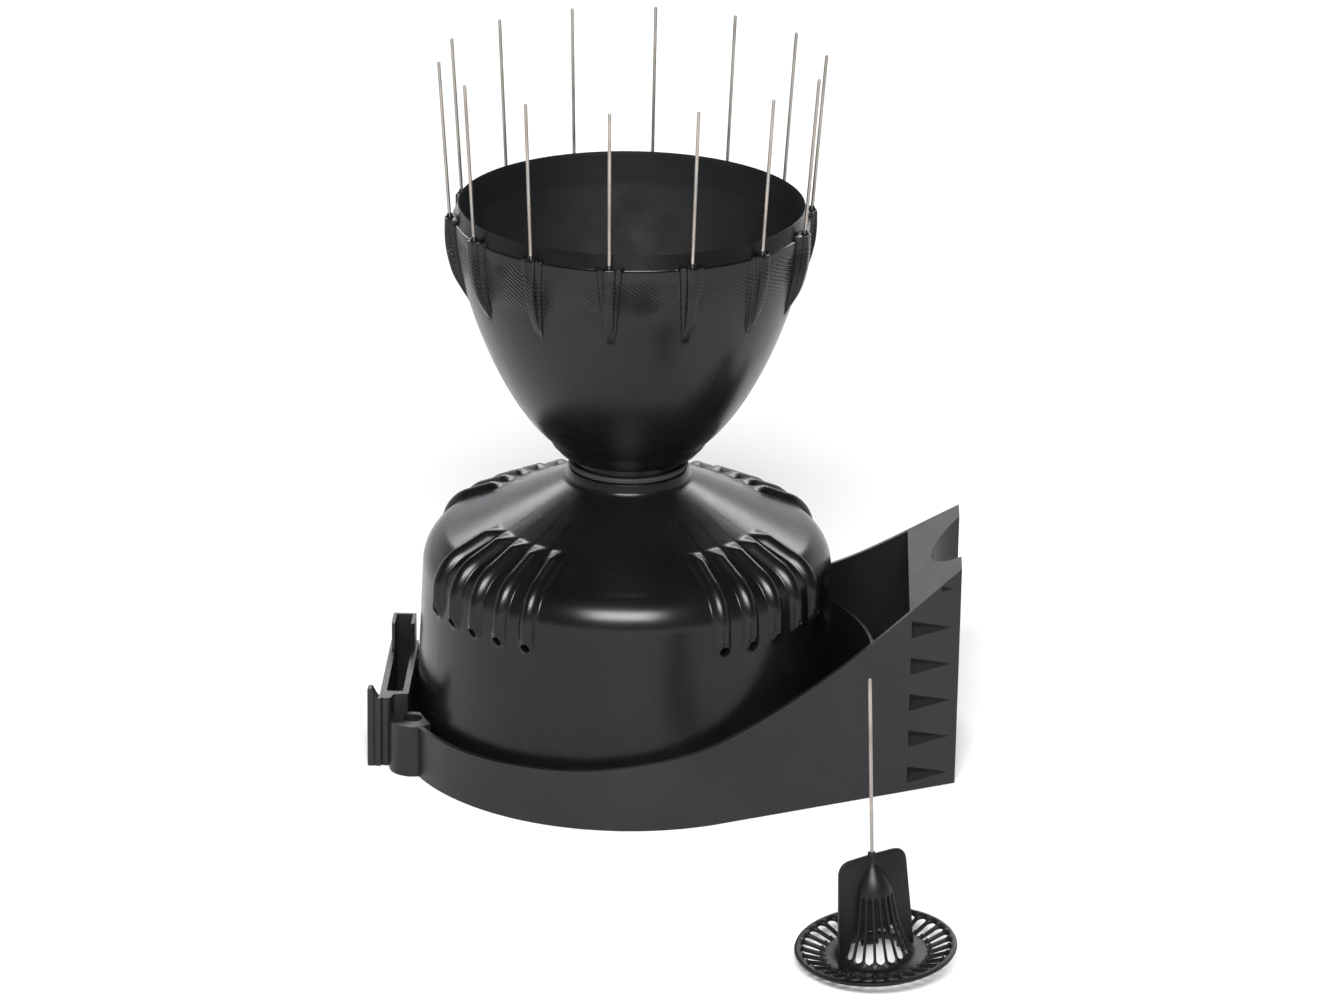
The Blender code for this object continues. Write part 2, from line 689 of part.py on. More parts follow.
def build_stops():
    """Calibration screws in their posts, one under each end of the bucket."""
    top = bucket_contact_height() - GAP
    for side, label in ((-1, "left"), (1, "right")):
        centre = (side * STOP_X, 0.0)
        post = cylinder(6.0 * MM, FLOOR_T + GAP, 18 * MM, centre, 20, name="stop_post_" + label)
        cut(post, cylinder(2.5 * MM + GAP, FLOOR_T + GAP + 2 * MM, 30 * MM, centre, 16))
        finish_part(post, "stop_post_" + label, PALE)
        low = FLOOR_T + GAP + 3 * MM
        screw = cylinder(2.5 * MM, low, top - 2.4 * MM, centre, 16)
        add(screw, cylinder(3.6 * MM, top - 2.6 * MM, top, centre, 12, 2.6 * MM))
        slot = box((centre[0] - 3 * MM, -5 * MM, top - 1.4 * MM), (centre[0] - 2.2 * MM, 5 * MM, top + 1 * MM))
        cut(screw, slot)
        finish_part(screw, "adjust_screw_" + label, YELLOW_METAL)


def build_drains():
    """Slotted drain screens in the floor, a grommet and a level vial."""
    for side, label in ((-1, "left"), (1, "right")):
        centre = (side * 58 * MM, 0.0)
        disc = cylinder(9.0 * MM, 0.6 * MM, 3.0 * MM, centre, 20)
        add(disc, cylinder(12.0 * MM, FLOOR_T + GAP, FLOOR_T + GAP + 1.6 * MM, centre, 24))
        add(disc, cylinder(9.0 * MM, 2.8 * MM, 4.0 * MM, centre, 20))
        slots = []
        for index in range(-2, 3):
            x = centre[0] + index * 2.8 * MM
            slots.append(box((x - 0.7 * MM, -6 * MM, -1 * MM), (x + 0.7 * MM, 6 * MM, 8 * MM)))
        cut(disc, merged(slots))
        finish_part(disc, "drain_screen_" + label, STAINLESS)
    grommet = turned([
        (8.5 * MM, 5.4 * MM), (8.5 * MM, 3.3 * MM), (6.1 * MM, 3.3 * MM), (6.1 * MM, 0.8 * MM),
        (3.6 * MM, 0.8 * MM), (3.6 * MM, 5.4 * MM)], "cable_grommet", 16)
    grommet.location = (0.0, 72 * MM, 0.0)
    finish_part(grommet, "cable_grommet", RUBBER)
    vial_body = cylinder(8.0 * MM, FLOOR_T + GAP, 8.5 * MM, (0.0, -66 * MM), 24)
    cut(vial_body, cylinder(6.2 * MM, 5.0 * MM, 12 * MM, (0.0, -66 * MM), 24))
    finish_part(vial_body, "level_cup", PALE)
    vial = cylinder(5.9 * MM, 5.3 * MM, 8.9 * MM, (0.0, -66 * MM), 24, 5.4 * MM)
    finish_part(vial, "level_vial", CLEAR)


def build_sensor():
    """Reed switch and its housing beside the bucket's magnet."""
    front = BRACKET_Y + BRACKET_T + 4.0 * MM
    post_low = (-11 * MM, front + 4 * MM, FLOOR_T + GAP + 3.3 * MM)
    housing = box(post_low, (11 * MM, front + 12 * MM, 66 * MM), "sensor_housing")
    cut(housing, box((-8 * MM, front + 2 * MM, 55.5 * MM), (8 * MM, front + 8 * MM, 62.5 * MM)))
    cut(housing, cylinder(4.0 * MM, 0.0, 10 * MM, (0.0, 31 * MM), 12))
    finish_part(housing, "sensor_housing", GLOSS)
    reed = rod((-7 * MM, front + 5.4 * MM, 59 * MM), (7 * MM, front + 5.4 * MM, 59 * MM), 1.3 * MM, 12)
    finish_part(reed, "reed_switch", CLEAR)


def build_catches():
    """Three bayonet catches on the floor that hold the dome's lugs down."""
    for index in range(3):
        angle = math.tau * index / 3 + math.radians(90)
        outline = [
            (91.6 * MM, FLOOR_T + GAP), (94.4 * MM, FLOOR_T + GAP), (94.4 * MM, 11.4 * MM),
            (98.2 * MM, 11.4 * MM), (98.2 * MM, 14.4 * MM), (91.6 * MM, 14.4 * MM)]
        catch = prism(outline, 15 * MM, radial_place(angle), "catch")
        finish_part(catch, "bayonet_catch_%d" % (index + 1), SATIN)


# ---------------------------------------------------------------- dome cover

def dome_path(offset):
    """Outer dome profile from the foot up, moved outward by offset."""
    fillet_r = DOME_SHOULDER_R - DOME_FILLET
    cone_z = COLLAR_FOOT_Z - (fillet_r - COLLAR_R) * math.tan(DOME_SLOPE)
    fillet_z = cone_z - DOME_FILLET / math.cos(DOME_SLOPE)
    points = [(DOME_FOOT_R + offset, DOME_FOOT_Z), (DOME_SHOULDER_R + offset, fillet_z)]
    for step in range(1, 5):
        angle = (math.pi / 2 - DOME_SLOPE) * step / 4
        radius = fillet_r + (DOME_FILLET + offset) * math.cos(angle)
        height = fillet_z + (DOME_FILLET + offset) * math.sin(angle)
        points.append((radius, height))
    return points


def cone_height(radius, offset):
    """Height of the dome's cone at a radius, moved outward by offset."""
    return COLLAR_FOOT_Z - (radius - COLLAR_R) * math.tan(DOME_SLOPE) + offset / math.cos(DOME_SLOPE)


def wall_radius(height):
    """Radius of the dome's upright wall at a height."""
    top = dome_path(0.0)[1]
    share = (height - DOME_FOOT_Z) / (top[1] - DOME_FOOT_Z)
    return DOME_FOOT_R + (DOME_SHOULDER_R - DOME_FOOT_R) * share


def build_dome():
    """The ventilated dome with its collar, louvres and bayonet lugs."""
    outer = dome_path(0.0)[::-1]
    inner = dome_path(-DOME_WALL)
    profile = [(COLLAR_R, COLLAR_TOP_Z), (COLLAR_R, COLLAR_FOOT_Z)] + outer + inner
    profile += [(COLLAR_BORE_R, cone_height(COLLAR_BORE_R, -DOME_WALL)), (COLLAR_BORE_R, COLLAR_TOP_Z)]
    dome = turned(profile, "dome_cover")
    hoods = []
    vents = []
    for group in range(LOUVRE_GROUPS):
        for index in range(LOUVRES_IN_GROUP):
            angle = LOUVRE_FIRST + group * math.pi / 2 + (index - 2) * LOUVRE_STEP
            hoods.append(louvre_hood(angle))
            vents.append(louvre_vent(angle))
    add(dome, merged(hoods))
    cut(dome, merged(vents))
    lugs = []
    for index in range(3):
        angle = math.tau * index / 3 + math.radians(90)
        outline = [
            (95.4 * MM, 7.2 * MM), (wall_radius(9 * MM) - 1.0 * MM, 7.2 * MM),
            (wall_radius(9 * MM) - 1.0 * MM, 10.4 * MM), (95.4 * MM, 10.4 * MM)]
        lugs.append(prism(outline, 12 * MM, radial_place(angle), "lug"))
    add(dome, merged(lugs))
    return finish_part(dome, "dome_cover", GLOSS)


def louvre_hood(angle):
    """A raised hood from the wall, over the shoulder and onto the cone."""
    outer = [(wall_radius(LOUVRE_FOOT_Z) + LOUVRE_H, LOUVRE_FOOT_Z)]
    outer += dome_path(LOUVRE_H)[1:]
    outer.append((LOUVRE_HEAD_R, cone_height(LOUVRE_HEAD_R, LOUVRE_H * 0.8)))
    inner = [(wall_radius(LOUVRE_FOOT_Z) - 1.0 * MM, LOUVRE_FOOT_Z)]
    inner += dome_path(-1.0 * MM)[1:]
    inner.append((LOUVRE_HEAD_R, cone_height(LOUVRE_HEAD_R, -1.0 * MM)))
    return prism(outer + inner[::-1], LOUVRE_W, radial_place(angle), "hood")


def louvre_vent(angle):
    """The opening under a hood's lower end."""
    radius = wall_radius(LOUVRE_FOOT_Z)
    low = LOUVRE_FOOT_Z - 1.0 * MM
    outline = [
        (radius - 5 * MM, low + 3.4 * MM), (radius + 1.4 * MM, low), (radius + 1.4 * MM, low + 8 * MM),
        (radius - 5 * MM, low + 8 * MM)]
    return prism(outline, LOUVRE_W - 2.8 * MM, radial_place(angle), "vent")


# ---------------------------------------------------------------- collector cone

def bowl_curve(count):
    """The bowl's outer curve from the lip up, a cubic with named handles."""
    start = Vector((BOWL_LIP_R, BOWL_LIP_Z))
    end = Vector((BOWL_TOP_R, BOWL_TOP_Z))
    low = start + BOWL_LOW_HANDLE * Vector((math.sin(BOWL_LOW_ANGLE), math.cos(BOWL_LOW_ANGLE)))
    high = end - BOWL_HIGH_HANDLE * Vector((math.sin(BOWL_HIGH_ANGLE), math.cos(BOWL_HIGH_ANGLE)))
    points = []
    for step in range(count + 1):
        t = step / count
        s = 1 - t
        point = start * s ** 3 + low * 3 * s * s * t + high * 3 * s * t * t + end * t ** 3
        points.append((point.x, point.y))
    return points


def inward(points, distance):
    """Move a profile's points inward along their normals."""
    moved = []
    last = len(points) - 1
    for index, point in enumerate(points):
        before = Vector(points[max(index - 1, 0)])
        after = Vector(points[min(index + 1, last)])
        run = (after - before).normalized()
        moved.append((point[0] - run.y * distance, point[1] + run.x * distance))
    return moved


def build_collector():
    """The bowl with its knife-edge rim, bosses and neck spigot."""
    curve = bowl_curve(7)
    outer = [(ORIFICE_R + 0.25 * MM, RIM_Z), (BAND_R, BAND_FOOT_Z)] + curve[::-1]
    outer += [(37.3 * MM, 157.0 * MM), (BOWL_FOOT_R, BOWL_FOOT_Z), (SPIGOT_R, BOWL_FOOT_Z)]
    outer += [(SPIGOT_R, SPIGOT_FOOT_Z), (SPIGOT_BORE_R, SPIGOT_FOOT_Z)]
    inner = [(SPIGOT_BORE_R, 155.5 * MM), (33.0 * MM, 158.5 * MM)]
    skin = inward(curve, BOWL_WALL)
    inner += [point for point in skin if point[1] > 163 * MM and point[1] < 262 * MM]
    inner += [(ORIFICE_R, 268 * MM), (ORIFICE_R, RIM_Z)]
    bowl = turned(outer + inner, "collector_cone")
    bosses = []
    holes = []
    for index in range(SPIKE_COUNT):
        angle = SPIKE_FIRST + index * math.tau / SPIKE_COUNT
        bosses.append(boss_solid(angle))
        start = Vector(spike_point(angle, SPIKE_FOOT_R, SPIKE_FOOT_Z))
        end = Vector(spike_point(angle, SPIKE_TIP_R, SPIKE_TIP_Z))
        run = (end - start).normalized()
        holes.append(rod(start - run * GAP, start + run * 14 * MM, SPIKE_R + GAP, 8))
    add(bowl, merged(bosses))
    cut(bowl, merged(holes))
    return finish_part(bowl, "collector_cone", GLOSS)


def boss_solid(angle):
    """A tapering boss under the rim that carries one spike."""
    outline = [
        (83.4 * MM, BOSS_TOP_Z), (77.0 * MM, 232 * MM), (76.4 * MM, BOSS_POINT_Z), (81.0 * MM, 236 * MM),
        (85.4 * MM, 244 * MM), (88.2 * MM, 254 * MM), (BOSS_R, 262 * MM), (BOSS_R, BOSS_TOP_Z)]
    return prism(outline[::-1], BOSS_W, radial_place(angle), "boss")


def spike_point(angle, radius, height):
    return (radius * math.cos(angle), radius * math.sin(angle), height)


def build_spikes():
    """The ring of bird spikes."""
    for index in range(SPIKE_COUNT):
        angle = SPIKE_FIRST + index * math.tau / SPIKE_COUNT
        start = spike_point(angle, SPIKE_FOOT_R, SPIKE_FOOT_Z)
        end = spike_point(angle, SPIKE_TIP_R, SPIKE_TIP_Z)
        spike = rod(start, end, SPIKE_R, 8)
        finish_part(spike, "spike_%02d" % (index + 1), STAINLESS)


def build_neck():
    """Gasket on the collar, and the inner funnel that feeds the bucket."""
    gasket = turned([
        (28.9 * MM, COLLAR_TOP_Z + GAP + 2.4 * MM), (28.9 * MM, COLLAR_TOP_Z + GAP),
        (SPIGOT_R + GAP, COLLAR_TOP_Z + GAP), (SPIGOT_R + GAP, COLLAR_TOP_Z + GAP + 2.4 * MM)],
        "neck_gasket", 32)
    finish_part(gasket, "neck_gasket", RUBBER)
    funnel = turned([
        (FUNNEL_RIM_R, FUNNEL_RIM_Z), (FUNNEL_RIM_R, 134 * MM), (NOZZLE_R + 2 * MM, 112 * MM),
        (NOZZLE_R, 108 * MM), (NOZZLE_R, NOZZLE_Z), (NOZZLE_BORE_R, NOZZLE_Z),
        (NOZZLE_BORE_R, 111 * MM), (FUNNEL_RIM_R - 2.2 * MM, 136 * MM),
        (FUNNEL_RIM_R - 2.2 * MM, FUNNEL_RIM_Z)], "inner_funnel", 24)
    finish_part(funnel, "inner_funnel", GLOSS)


# ---------------------------------------------------------------- debris screen

def screen_profile():
    """Turned loop of the screen: bullet-shaped cone, flange, dished slotted disc and foot."""
    cone = [
        (2.1, 48.4), (4.4, 45.5), (6.4, 42.5), (8.1, 38.7), (9.1, 34.0), (10.1, 27.0), (11.6, 19.7),
        (14.0, 12.0)]
    outer = [(0.8 * MM, SCREEN_APEX_Z)] + [(r * MM, z * MM) for r, z in cone]
    outer.append((SCREEN_CONE_R, SCREEN_FLANGE_Z + 0.8 * MM))
    dish_r = SCREEN_R - SCREEN_RIM_W
    top = [(SCREEN_FLANGE_R, SCREEN_FLANGE_Z), (dish_r, SCREEN_RIM_Z - 0.2 * MM)]
    edge = [
        (SCREEN_R - 0.6 * MM, SCREEN_RIM_Z), (SCREEN_R, SCREEN_RIM_Z - 0.6 * MM),
        (SCREEN_R, SCREEN_RIM_Z - SCREEN_T + 0.6 * MM), (SCREEN_R - 0.6 * MM, SCREEN_RIM_Z - SCREEN_T)]
    under = [(radius, height - SCREEN_T) for radius, height in reversed(top)]
    foot = [
        (SCREEN_FOOT_R, SCREEN_FLANGE_Z - SCREEN_T), (SCREEN_FOOT_R, 0.0), (SCREEN_CONE_R - 1.0 * MM, 0.0)]
    inner = [(r * MM - SCREEN_CONE_T, (z - 0.8) * MM) for r, z in cone[1:]]
    inner.append((SCREEN_CONE_R - SCREEN_CONE_T, SCREEN_FLANGE_Z))
    return outer + top + edge + under + foot + inner[::-1] + [(0.8 * MM, 46.2 * MM)]


def screen_vane():
    """Outline of the upright vane, notched so that it clears the inside of the cone."""
    half = [
        (19.3, 3.4), (17.3, 40.0), (15.8, 47.0), (12.6, 51.4), (7.5, SCREEN_VANE_Z / MM)]
    right = [(x * MM, z * MM) for x, z in half]
    left = [(-x, z) for x, z in reversed(right)]
    notch = [(-13.2 * MM, 3.4 * MM), (-10.2 * MM, 14.0 * MM), (10.2 * MM, 14.0 * MM), (13.2 * MM, 3.4 * MM)]
    return right + left + notch


def radial_slots(count, start, low, high):
    """Straight slots spread round the axis, from a low corner to a high corner."""
    slots = []
    for index in range(count):
        slot = box(low, high)
        slot.data.transform(Matrix.Rotation(start + math.tau * index / count, 4, "Z"))
        slots.append(slot)
    return merged(slots)


def build_screen():
    """Slotted cone on a dished, slotted disc with one upright vane, a knob and a spike."""
    screen = turned(screen_profile(), "debris_screen", 36)
    add(screen, prism(screen_vane(), SCREEN_VANE_T, radial_place(SCREEN_VANE_ANGLE), "vane"))
    knob_top = SCREEN_VANE_Z + 1.8 * MM
    add(screen, cylinder(SCREEN_KNOB_R, SCREEN_APEX_Z - 4.6 * MM, knob_top, segments=16))
    half_pitch = math.pi / SCREEN_CONE_SLOTS
    cut(screen, radial_slots(
        SCREEN_SLOTS, SCREEN_RIB_ANGLE + math.pi / SCREEN_SLOTS, (23.8 * MM, -1.5 * MM, -1 * MM),
        (33.8 * MM, 1.5 * MM, 12 * MM)))
    cut(screen, radial_slots(
        SCREEN_CONE_SLOTS, SCREEN_VANE_ANGLE + half_pitch, (6.5 * MM, -0.9 * MM, 6.0 * MM),
        (22 * MM, 0.9 * MM, 34.0 * MM)))
    cut(screen, radial_slots(
        3, half_pitch, (-20 * MM, -SCREEN_FOOT_GAP, -1 * MM), (20 * MM, SCREEN_FOOT_GAP, 1.8 * MM)))
    foot = Vector((0.0, 0.0, SCREEN_SPIKE_FOOT_Z))
    length = (SCREEN_SPIKE_TIP_Z - foot.z) / math.cos(SCREEN_SPIKE_LEAN)
    run = Vector((math.sin(SCREEN_SPIKE_LEAN), 0.0, math.cos(SCREEN_SPIKE_LEAN)))
    cut(screen, rod(foot - run * GAP, foot + run * 12 * MM, SPIKE_R + GAP, 10))
    finish_part(screen, "debris_screen", GLOSS)
    spike = rod(foot, foot + run * length, SPIKE_R, 10)
    finish_part(spike, "screen_spike", STAINLESS)
    for obj in [screen, spike] + [mod.object for mod in screen.modifiers if mod.type == "BOOLEAN"]:
        obj.location = (SCREEN_X, SCREEN_Y, SCREEN_RAISE)
        obj.rotation_euler = SCREEN_TILT


def smooth_round_faces():
    """Shade the round faces smooth and keep the real edges sharp."""
    for obj in PARTS.objects:
        if obj.type != "MESH":
            continue
        obj.data.shade_smooth()
        obj.data.set_sharp_from_angle(angle=math.radians(30))


def build():
    """Build every part of the rain collector."""
    build_side_wall(-1, "base_wall_near")
    build_side_wall(1, "base_wall_far")
    build_floor()
    build_bulkhead()
    build_rail()
    build_saddle()
    build_catches()
    pivot = bpy.data.objects.new("Bucket pivot", None)
    pivot.location = (0.0, 0.0, PIVOT_Z)
    PARTS.objects.link(pivot)
    build_bracket(-1, "pivot_bracket_near")
    build_bracket(1, "pivot_bracket_far")
    for side, label in ((-1, "near"), (1, "far")):
        low = FLOOR_T + GAP + 3 * MM + GAP
        centre = (0.0, side * 31 * MM)
        build_screw(centre, low - 2.6 * MM, 1.4 * MM, 3.0 * MM, 2.6 * MM, 1.8 * MM,
                    "bracket_screw_" + label, STAINLESS)
    build_bucket(pivot)
    build_stops()
    build_drains()
    build_sensor()
    build_dome()
    build_collector()
    build_spikes()
    build_neck()
    build_screen()
    smooth_round_faces()


build()
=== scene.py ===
"""Looks of the tipping bucket rain collector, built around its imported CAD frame.

Lengths are in millimetres and are scaled to metres when a mesh is made.  The origin is
on the collector's axis at the underside of the base, +X points to the mast flange.
"""

from math import acos, asin, cos, dist, exp, hypot, pi, radians, sin, sqrt, tan, tau

import bmesh
import bpy
from mathutils import Matrix, Vector


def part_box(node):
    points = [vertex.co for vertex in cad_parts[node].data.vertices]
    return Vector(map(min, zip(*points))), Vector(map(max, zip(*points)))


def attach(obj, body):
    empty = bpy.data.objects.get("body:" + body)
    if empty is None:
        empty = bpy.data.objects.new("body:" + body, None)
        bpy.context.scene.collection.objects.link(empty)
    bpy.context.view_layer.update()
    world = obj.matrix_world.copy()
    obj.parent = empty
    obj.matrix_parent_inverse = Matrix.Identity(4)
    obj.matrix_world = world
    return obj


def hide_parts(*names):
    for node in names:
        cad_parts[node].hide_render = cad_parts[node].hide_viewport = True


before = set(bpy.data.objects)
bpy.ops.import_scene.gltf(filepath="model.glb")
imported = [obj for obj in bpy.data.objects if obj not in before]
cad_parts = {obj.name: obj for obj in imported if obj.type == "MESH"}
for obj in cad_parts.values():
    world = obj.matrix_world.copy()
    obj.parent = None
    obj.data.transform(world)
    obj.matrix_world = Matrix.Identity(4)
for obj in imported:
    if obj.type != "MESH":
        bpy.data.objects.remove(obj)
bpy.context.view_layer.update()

MM = 0.001


def cad_box(node):
    """Lowest and highest corner of a CAD node, in millimetres."""
    low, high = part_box(node)
    return low / MM, high / MM


# Places that come from the frame.
TRAY_R = cad_box("base_wall_far")[1].y
SADDLE_X = cad_box("mast_saddle")[0].x
FLANGE_X = cad_box("mast_saddle")[1].x
BULKHEAD_TOP = cad_box("bay_bulkhead")[1].z
RAIL_LOW, RAIL_HIGH = cad_box("accessory_rail")
DOME_FOOT_Z = cad_box("dome_cover")[0].z
COLLAR_TOP_Z = cad_box("dome_cover")[1].z
RIM_Z = cad_box("collector_cone")[1].z
SPIGOT_FOOT_Z = cad_box("collector_cone")[0].z
SPIKE_TIP_Z = cad_box("spike_01")[1].z - 0.05  # just inside the CAD's box
SCREEN_LOW, SCREEN_HIGH = cad_box("debris_screen")
FUNNEL_LOW, FUNNEL_HIGH = cad_box("inner_funnel")

# Base moulding.
WALL = 2.6
FLOOR_T = 3.0
TAPER = radians(26.5)
WALL_SWEEP = ((-112, 25.5), (-60, 27), (0, 31.5), (50, 42), (105, 70), (162, 111.5))
BULKHEAD_R = 122.5
BULKHEAD_T = 2.0
DOME_CLEAR_R = 104.6
JOINT_X = SADDLE_X - 0.02
DRAIN_X, DRAIN_R = 58.0, 9.4
GROMMET_Y, GROMMET_R = 72.0, 6.4
EAR_ANGLE = radians(157.5)
EAR_REACH = 110.0
EAR_R = 11.5
EAR_TOP = 26.0
EAR_HOLE = ((0.05, -1.0), (2.6, -1.0), (2.6, 17.0), (4.5, 18.2), (4.9, 40.0), (0.05, 40.0))
RAIL_HALF = 34.5
RAIL_TOP = 35.5
RAIL_PLATE = 2.9
HOOK_TOP = 40.5
HOOK_FRONT, HOOK_BACK = -41.6, -36.4
POST_NEAR = 20.0
CHEEK_T = 8.5
CHANNEL_HALF = 27.0
CHANNEL_DEPTH = 13.9
CHANNEL_WALL = 2.6
LAND_T = 4.0
TOP_T = 2.8
TOOTH_PITCH = 18.9
TOOTH_H = 9.4
TOOTH_DEPTH = 6.0
TEETH = 5
BOLT_Y = 32.0
BOLT_R = 2.8
BOLT_Z = (30.0, 78.0)

# Dome cover.
DOME_FOOT_R = 103.2
DOME_SHOULDER_R = 99.5
DOME_FILLET = 20.0
DOME_SLOPE = radians(25)
DOME_WALL = 2.4
COLLAR_R = 29.7
COLLAR_FOOT_Z = 139.4
COLLAR_BORE_R = 25.0
HOOD_GROUPS = tuple(radians(middle) for middle in (46.8, 136.8, 225.8, 317.4))
HOOD_STEP = radians(9.1)
HOODS_IN_GROUP = 5
HOOD_HALF = 4.6
HOOD_H = 3.6
HOOD_FOOT_Z = 79.6
HOOD_HEAD_R = 67.2
HOOD_RAMP = 7.0
HOOD_SPREAD = (0.0, 0.22, 0.42, 0.60, 0.74, 0.85, 0.93, 0.98)
HOOD_EDGE = ((1.03, 0.03), (1.10, 0.0), (1.3, 0.0))
HOOD_COLUMNS = tuple((x, cos(x * pi / 2) ** 0.75) for x in HOOD_SPREAD) + HOOD_EDGE
HOOD_GAP_STEPS, GROUP_GAP_STEPS = 3, 22
VENT_Z = (81.6, 86.6)
VENT_HALF = 2.2
VENT_COLUMNS = 2

# Collector bowl.
ORIFICE_R = 82.5
BAND_R = 84.3
BAND_FOOT_Z = 270.6
BOWL_WALL = 2.2
BOWL_TOP = Vector((85.4, 270.2))
BOWL_LIP = Vector((38.9, 160.0))
BOWL_LOW_HANDLE = 35.7 * Vector((sin(radians(48.6)), cos(radians(48.6))))
BOWL_HIGH_HANDLE = 28.4 * Vector((sin(radians(2.2)), cos(radians(2.2))))
BOWL_FOOT_Z = 152.8
SPIGOT_R = 26.8
SPIGOT_BORE_R = 22.0
SPIKES = 14
SPIKE_FIRST = radians(-94.6)
SPIKE_R = 0.8
SPIKE_FOOT = (86.1, 262.0)
SPIKE_TIP_R = 92.0
BOSS_TOP_Z = 272.0
BOSS_FOOT_Z = 229.5
BOSS_NOSE = ((229.5, 76.4), (236, 81.0), (244, 85.4), (254, 88.2), (262, 89.2), (272, 89.2))
BOSS_LIFT = 1.9
BOSS_GAP_STEPS = 9

# Debris screen, in its own tilted frame with its feet at height 0.
SCREEN_TILT = Matrix.Rotation(radians(-3.8), 3, "Y") @ Matrix.Rotation(radians(3.1), 3, "X")
SCREEN_RAISE = 1.5
SCREEN_R = 36.7
SCREEN_T = 2.2
RIM_TOP_Z = 8.6
RIM_W = 2.5
FLANGE_R = 22.5
FLANGE_Z = 4.4
DISC_SLOTS = 32
CONE_SLOTS = 18
SLOT_OUT, SLOT_IN = 33.8, 23.6
CONE_SLOT_Z = (6.3, 35.6)
DISC_RIB = 1.5
CONE_RIB = 1.35
DISC_RIB_ANGLE = radians(32.25)
VANE_ANGLE = radians(28.6)
CONE_SHAPE = (
    (5.2, 16.6), (12, 14.0), (19.7, 11.6), (27, 10.1), (34, 9.1), (38.7, 8.1), (42.5, 6.4), (45.5, 4.4),
    (48.4, 2.2))
SCREEN_COLUMNS = 576
SCREEN_AXIS = SCREEN_TILT @ Vector((0.0, 0.0, 1.0))
SCREEN_PLACE = (SCREEN_LOW + SCREEN_HIGH) / 2 - SCREEN_AXIS * (RIM_TOP_Z - SCREEN_T / 2)
SCREEN_PLACE.z = SCREEN_RAISE
SCREEN_WIRE = (Vector((0.0, 0.0, 50.0)), Vector((2.55, 0.0, 140.9)))

# Studio, in metres.
CAMERA_PLACE = Vector((0.0853, -2.4454, 1.0503))
CAMERA_ANGLES = (0.3611, 0.0154, -0.0272)  # pitch, roll and yaw
CAMERA_LENS = 145.37
FLOOR_R = 9.0
FLOOR_DROP = 0.0004


# ---------- materials

def fill_in(tree, node, **inputs):
    """Fill in a node's inputs by name, each with a value or with another node's output."""
    for name, value in inputs.items():
        put_in(tree, node.inputs[name.replace("_", " ")], value)
    return node


def put_in(tree, socket, value):
    """Link another node's output to a socket, or set the socket's value."""
    if isinstance(value, bpy.types.NodeSocket):
        tree.links.new(value, socket)
    else:
        socket.default_value = value


def new_node(tree, kind, **inputs):
    """A new shader node with its inputs filled in."""
    return fill_in(tree, tree.nodes.new("ShaderNode" + kind), **inputs)


def maths(tree, kind, operation, first, second):
    """The outputs of a maths node on two inputs."""
    node = new_node(tree, kind)
    node.operation = operation
    put_in(tree, node.inputs[0], first)
    put_in(tree, node.inputs[1], second)
    return node.outputs


def principled(name, **uniform):
    """A material, its node tree and its shader, with values that are the same all over."""
    material = bpy.data.materials.new(name)
    material.use_nodes = True
    tree = material.node_tree
    return material, tree, fill_in(tree, tree.nodes["Principled BSDF"], **uniform)


def object_noise(tree, scale, detail=3.0, stretch=(1.0, 1.0, 1.0)):
    """Noise in the object's own coordinates; scale is in features per metre."""
    where = new_node(tree, "TexCoord").outputs["Object"]
    spread = new_node(tree, "Mapping", Vector=where, Scale=stretch).outputs["Vector"]
    return new_node(tree, "TexNoise", Vector=spread, Scale=scale, Detail=detail).outputs["Fac"]


def ramp(tree, source, dark, light, start=0.3, end=0.7):
    """A colour between dark and light, by a value between start and end."""
    node = new_node(tree, "ValToRGB", Fac=source)
    for element, position, colour in zip(node.color_ramp.elements, (start, end), (dark, light)):
        element.position = position
        element.color = (*colour, 1.0)
    return node.outputs["Color"]


def spread_range(tree, source, low, high, start=0.3, end=0.7):
    """A value between start and end, mapped to one between low and high."""
    node = new_node(
        tree, "MapRange", Value=source, From_Min=start, From_Max=end, To_Min=low, To_Max=high)
    return node.outputs["Result"]


def product(tree, *values):
    """Values multiplied together."""
    result = values[0]
    for value in values[1:]:
        result = maths(tree, "Math", "MULTIPLY", result, value)["Value"]
    return result


def bumped(tree, height, strength, depth, under=None):
    """A bump from a height, depth in metres, over another bump if one is given."""
    node = new_node(tree, "Bump", Height=height, Strength=strength, Distance=depth)
    if under is not None:
        put_in(tree, node.inputs["Normal"], under)
    return node.outputs["Normal"]


def moulded_plastic(name, colours, rough, grain, specular=0.5):
    """Moulded plastic: cloudy colour, patchy gloss, fine mould grain and slight waves."""
    material, tree, shader = principled(name, Specular_IOR_Level=specular)
    skin = bumped(tree, object_noise(tree, 2400.0, 2.0), grain, 0.00004)
    fill_in(
        tree, shader,
        Base_Color=ramp(tree, object_noise(tree, 26.0, 5.0), *colours),
        Roughness=spread_range(tree, object_noise(tree, 70.0, 6.0), *rough),
        Normal=bumped(tree, object_noise(tree, 34.0, 1.0), 0.06, 0.0003, skin))
    return material


def outer_side(tree, where):
    """1 where a surface faces away from the Z axis, 0 where it faces the axis."""
    flat = maths(tree, "VectorMath", "MULTIPLY", where, (1.0, 1.0, 0.0))["Vector"]
    normal = new_node(tree, "NewGeometry").outputs["Normal"]
    facing = maths(tree, "VectorMath", "DOT_PRODUCT", flat, normal)["Value"]
    return spread_range(tree, facing, 0.0, 1.0, -0.004, 0.004)


